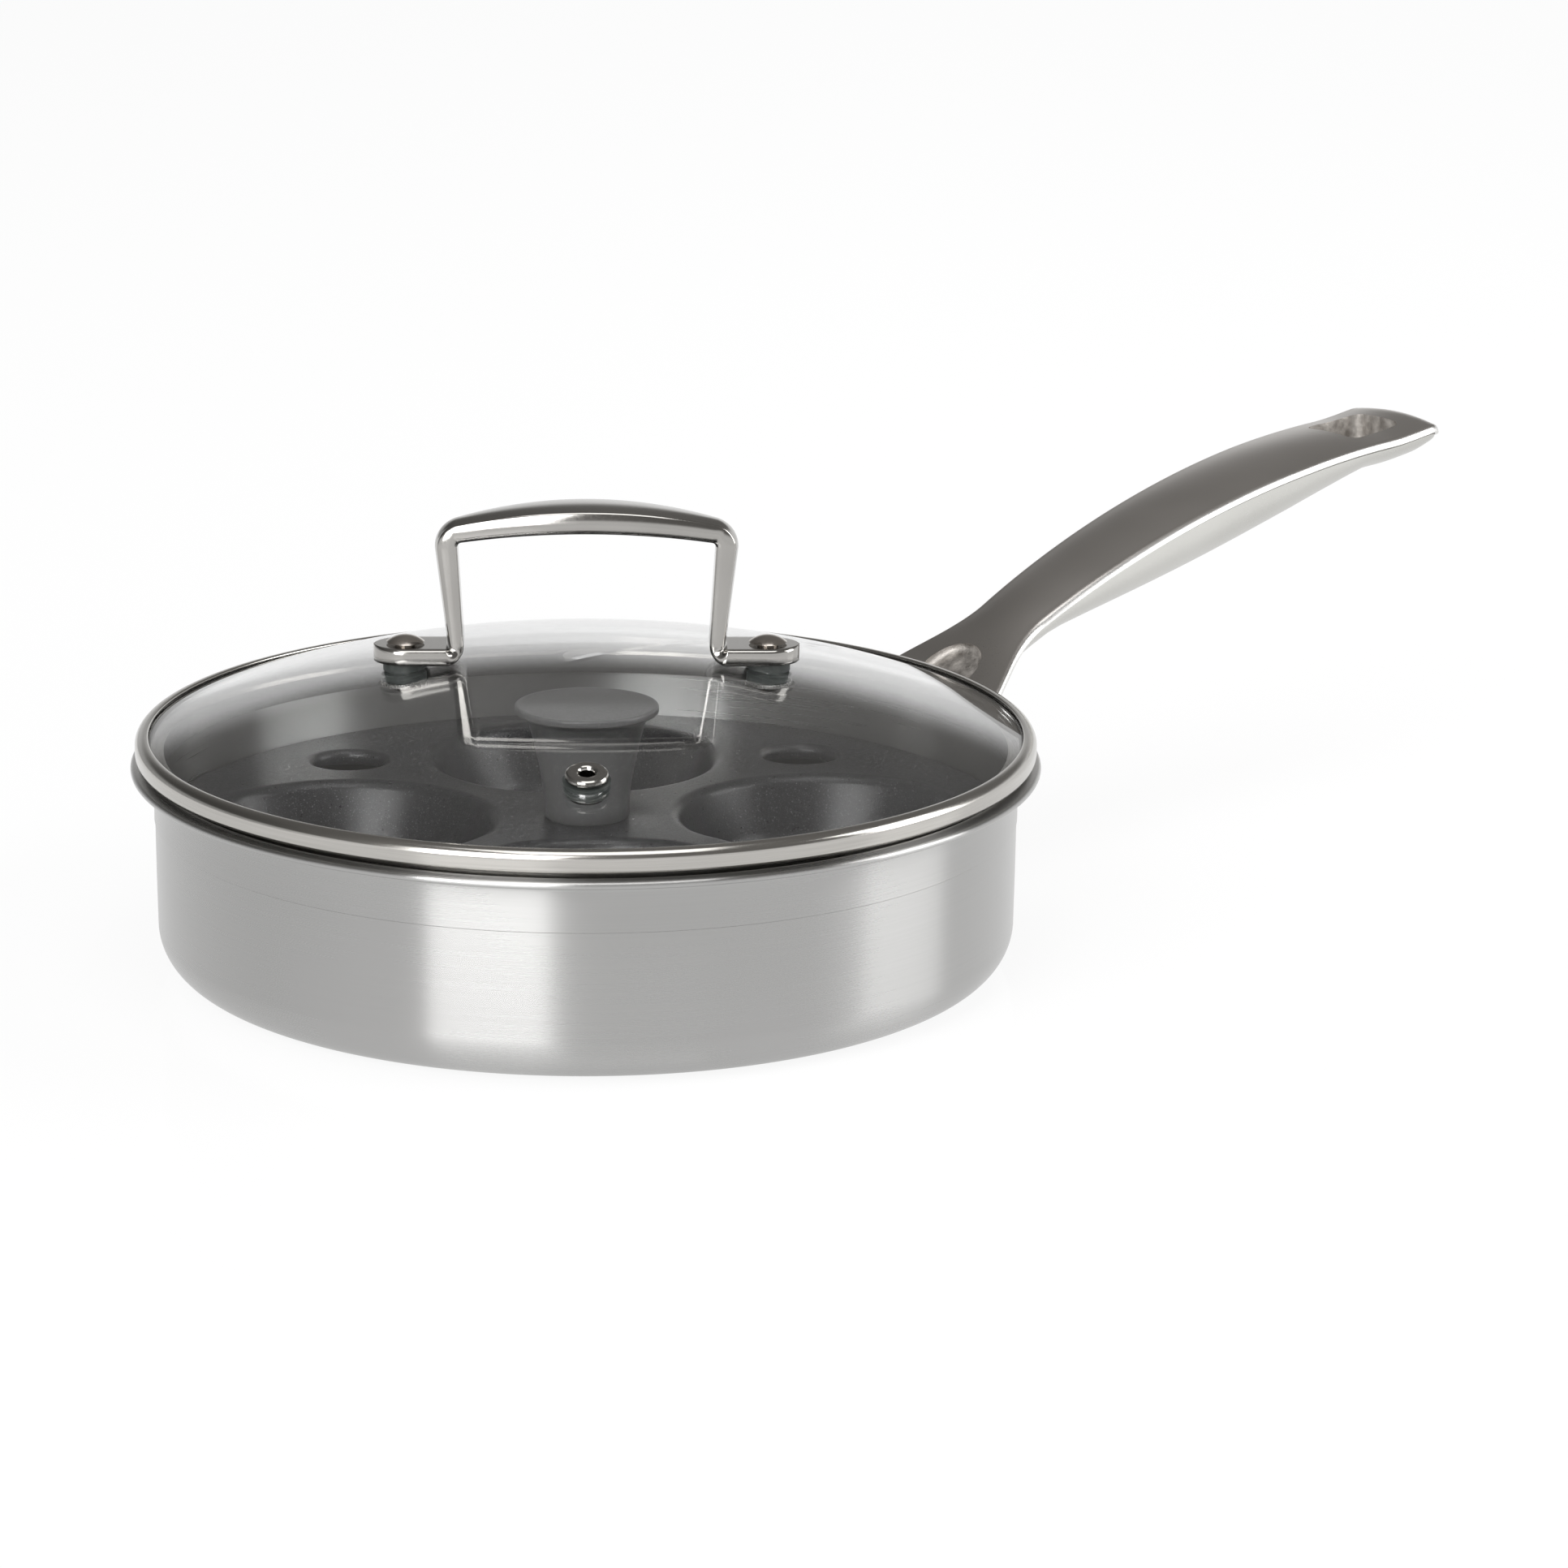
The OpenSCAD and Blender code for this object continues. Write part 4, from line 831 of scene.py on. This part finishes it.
def makeFasteners(p):
    low = p["padLow"] - p["washerT"]
    seat = p["footTop"] + 0.05
    headR = (p["rivetHeadR"] ** 2 + p["rivetHeadH"] ** 2) / (2 * p["rivetHeadH"])
    span = math.degrees(math.asin(p["rivetHeadR"] / headR))
    tailR, tailH = p["rivetHeadR"] - 0.5, 1.6
    tailCurve = (tailR ** 2 + tailH ** 2) / (2 * tailH)
    tailSpan = math.degrees(math.asin(tailR / tailCurve))
    rivet = [(0, low - tailH)] + arc(0, low - tailH + tailCurve, tailCurve, -90, -90 + tailSpan, 10)[1:]
    rivet += [(p["rivetR"], low), (p["rivetR"], seat), (p["rivetHeadR"], seat)]
    rivet += arc(0, seat + p["rivetHeadH"] - headR, headR, 90 - span, 90, 14)[1:]
    rivet[-1] = (0, seat + p["rivetHeadH"])
    bore = p["rivetR"] + 0.05

    def disc(outer, bottom, top, soft=0.25):
        return [(bore, bottom), (outer - soft, bottom), (outer, bottom + soft), (outer, top - soft),
                (outer - soft, top), (bore, top), (bore, bottom)]

    upperPad = disc(p["padR"], p["glassTop"] - 0.6, p["footTop"] - p["footT"] - 0.02)
    kinds = (("lidRivets", rivet, "rivetSteel", "rivet_steel", ("lid_rivet_left", "lid_rivet_right")),
             ("upperPads", upperPad, "silicone", "silicone", ("upper_pad_left", "upper_pad_right")),
             ("lowerPads", disc(p["padR"], p["padLow"], p["glassLow"]), "silicone", "silicone",
              ("lower_pad_left", "lower_pad_right")),
             ("lidWashers", disc(p["washerR"], low, p["padLow"], 0.2), "washerSteel", "rivet_steel",
              ("lid_washer_left", "lid_washer_right")))
    for name, profile, finish, slot, replaced in kinds:
        form = turned(name + "Form", profile, finishes[finish], 64)
        piece = placed(name, form, [(-p["x"], 0, 0), (p["x"], 0, 0)], finishes[finish], p["turn"], 40)
        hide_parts(*replaced)
        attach(piece, "lid")


makeFasteners(fasteners)
print("rivets, pads and washers set")

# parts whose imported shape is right: they stay and take a finish
keptParts = {
    "lid_glass": "lidGlass", "vent_eyelet": "bailSteel", "vent_grommet": "silicone",
    "handle_rivet_left": "rivetSteel", "handle_rivet_right": "rivetSteel", "handle_rivet_lower": "rivetSteel",
    "knob_insert": "insertBrass", "knob_screw": "washerSteel", "knob_washer": "washerSteel",
}
for nodeName, finishName in keptParts.items():
    obj = nodes[nodeName]
    if obj.material_slots:
        for slot in obj.material_slots:
            slot.material = finishes[finishName]
    else:
        obj.data.materials.append(finishes[finishName])
print("kept parts dressed:", len(keptParts))


# camera, floor and light

camera = dict(place=(-0.893937, -1.066065, 0.425690), heading=48.09186, tilt=-15.38718, roll=0.4971, lens=139.5574)


def makeCamera(p):
    data = bpy.data.cameras.new("camera")
    data.lens, data.sensor_width, data.sensor_fit = p["lens"], 36.0, "HORIZONTAL"
    data.clip_start, data.clip_end = 0.05, 60
    obj = bpy.data.objects.new("camera", data)
    bpy.context.scene.collection.objects.link(obj)
    heading, tilt, roll = (math.radians(p[k]) for k in ("heading", "tilt", "roll"))
    ahead = Vector((math.cos(tilt) * math.cos(heading), math.cos(tilt) * math.sin(heading), math.sin(tilt)))
    right = ahead.cross(Vector((0, 0, 1))).normalized()
    up = right.cross(ahead)
    turnedRight = right * math.cos(roll) + up * math.sin(roll)
    turnedUp = up * math.cos(roll) - right * math.sin(roll)
    axes = Matrix((turnedRight, turnedUp, -ahead)).transposed().to_4x4()
    obj.matrix_world = Matrix.Translation(p["place"]) @ axes
    bpy.context.scene.camera = obj


stage = dict(size=12.0, drop=0.0002, paint=(0.93, 0.93, 0.93), matte=0.12, glow=0.915, mirror=0.06, mirrorRough=0.05)


def seenDirectly(tree):
    # camera, glossy and transmission rays see the studio white
    path = put(tree, "ShaderNodeLightPath")
    both = maths(tree, "MAXIMUM", path.outputs["Is Camera Ray"], path.outputs["Is Glossy Ray"])
    return maths(tree, "MAXIMUM", both, path.outputs["Is Transmission Ray"])


def makeFloor(p):
    s = p["size"]
    mesh = bpy.data.meshes.new("floor")
    mesh.from_pydata([(-s, -s, -p["drop"]), (s, -s, -p["drop"]), (s, s, -p["drop"]), (-s, s, -p["drop"])],
                     [], [(0, 1, 2, 3)])
    floor = bpy.data.objects.new("floor", mesh)
    bpy.context.scene.collection.objects.link(floor)
    finish = bpy.data.materials.new("floorPaint")
    finish.use_nodes = True
    tree = finish.node_tree
    tree.nodes.clear()
    matte = put(tree, "ShaderNodeBsdfDiffuse", {"Color": tuple(c * p["matte"] for c in p["paint"]) + (1,)})
    glow = put(tree, "ShaderNodeEmission", {"Color": (1, 1, 1, 1),
                                            "Strength": maths(tree, "MULTIPLY", seenDirectly(tree), p["glow"])})
    lit = put(tree, "ShaderNodeAddShader", {0: matte.outputs[0], 1: glow.outputs[0]})
    mirror = put(tree, "ShaderNodeBsdfAnisotropic", {"Color": (1, 1, 1, 1), "Roughness": p["mirrorRough"]})
    mixed = put(tree, "ShaderNodeMixShader", {0: p["mirror"], 1: lit.outputs[0], 2: mirror.outputs[0]})
    output = tree.nodes.new("ShaderNodeOutputMaterial")
    tree.links.new(mixed.outputs[0], output.inputs["Surface"])
    mesh.materials.append(finish)


room = dict(low=0.17, high=0.34, dark=(0.20, 0.194, 0.187), fill=0.35, cardBearing=-122, cardFrom=0.50,
            cardTo=0.90, cardDepth=0.55)


def makeRoom(p):
    # white low down all round as in the photograph's studio, a dark ceiling above, even fill for matt surfaces
    world = bpy.data.worlds.new("studio")
    bpy.context.scene.world = world
    world.use_nodes = True
    tree = world.node_tree
    tree.nodes.clear()
    ways = put(tree, "ShaderNodeTexCoord").outputs["Generated"]
    height = put(tree, "ShaderNodeSeparateXYZ", {0: ways}).outputs[2]
    share = put(tree, "ShaderNodeMapRange", {"Value": height, "From Min": p["low"], "From Max": p["high"]},
                interpolation_type="SMOOTHSTEP").outputs[0]
    # a grey card stands to the left of the pan
    around = math.radians(frontBearing + p["cardBearing"])
    toCard = put(tree, "ShaderNodeVectorMath", {0: ways, 1: (math.cos(around), math.sin(around), 0.1)},
                 operation="DOT_PRODUCT")
    shade = ranged(tree, toCard.outputs["Value"], p["cardFrom"], p["cardTo"], 1, 1 - p["cardDepth"])
    seen = put(tree, "ShaderNodeBackground", {"Color": blended(tree, share, (1, 1, 1), p["dark"]),
                                              "Strength": shade})
    plain = put(tree, "ShaderNodeBackground", {"Color": (1, 1, 1, 1)})
    fill = put(tree, "ShaderNodeBackground", {"Color": (1, 1, 1, 1), "Strength": p["fill"]})
    path = put(tree, "ShaderNodeLightPath")
    first = put(tree, "ShaderNodeMixShader", {0: seenDirectly(tree), 1: fill.outputs[0], 2: seen.outputs[0]})
    second = put(tree, "ShaderNodeMixShader", {0: path.outputs["Is Camera Ray"], 1: first.outputs[0],
                                              2: plain.outputs[0]})
    output = tree.nodes.new("ShaderNodeOutputWorld")
    tree.links.new(second.outputs[0], output.inputs["Surface"])


# each softbox: bearing from the camera's side in degrees, elevation, distance, width, height, power
softboxes = {
    "keyBox": dict(bearing=-25.2, elevation=27, distance=1.5, width=0.84, height=1.1, power=20),
    "sideBox": dict(bearing=90, elevation=24, distance=1.5, width=0.8, height=1.0, power=11),
    "topBox": dict(bearing=10, elevation=76, distance=1.6, width=1.0, height=1.0, power=8),
}


def makeSoftbox(name, p):
    data = bpy.data.lights.new(name, "AREA")
    data.shape, data.size, data.size_y, data.energy = "RECTANGLE", p["width"], p["height"], p["power"]
    obj = bpy.data.objects.new(name, data)
    bpy.context.scene.collection.objects.link(obj)
    # bearing 0 is where the viewer stands, positive towards their right
    around = math.radians(frontBearing + p["bearing"])
    up = math.radians(p["elevation"])
    away = Vector((math.cos(up) * math.cos(around), math.cos(up) * math.sin(around), math.sin(up)))
    obj.location = away * p["distance"] + Vector((0, 0, 0.03))
    obj.rotation_euler = away.to_track_quat("Z", "Y").to_euler()
    obj.visible_camera = False


makeCamera(camera)
makeFloor(stage)
makeRoom(room)
for boxName, box in softboxes.items():
    makeSoftbox(boxName, box)
bpy.context.scene.view_settings.view_transform = "Standard"
print("camera, floor and light set")
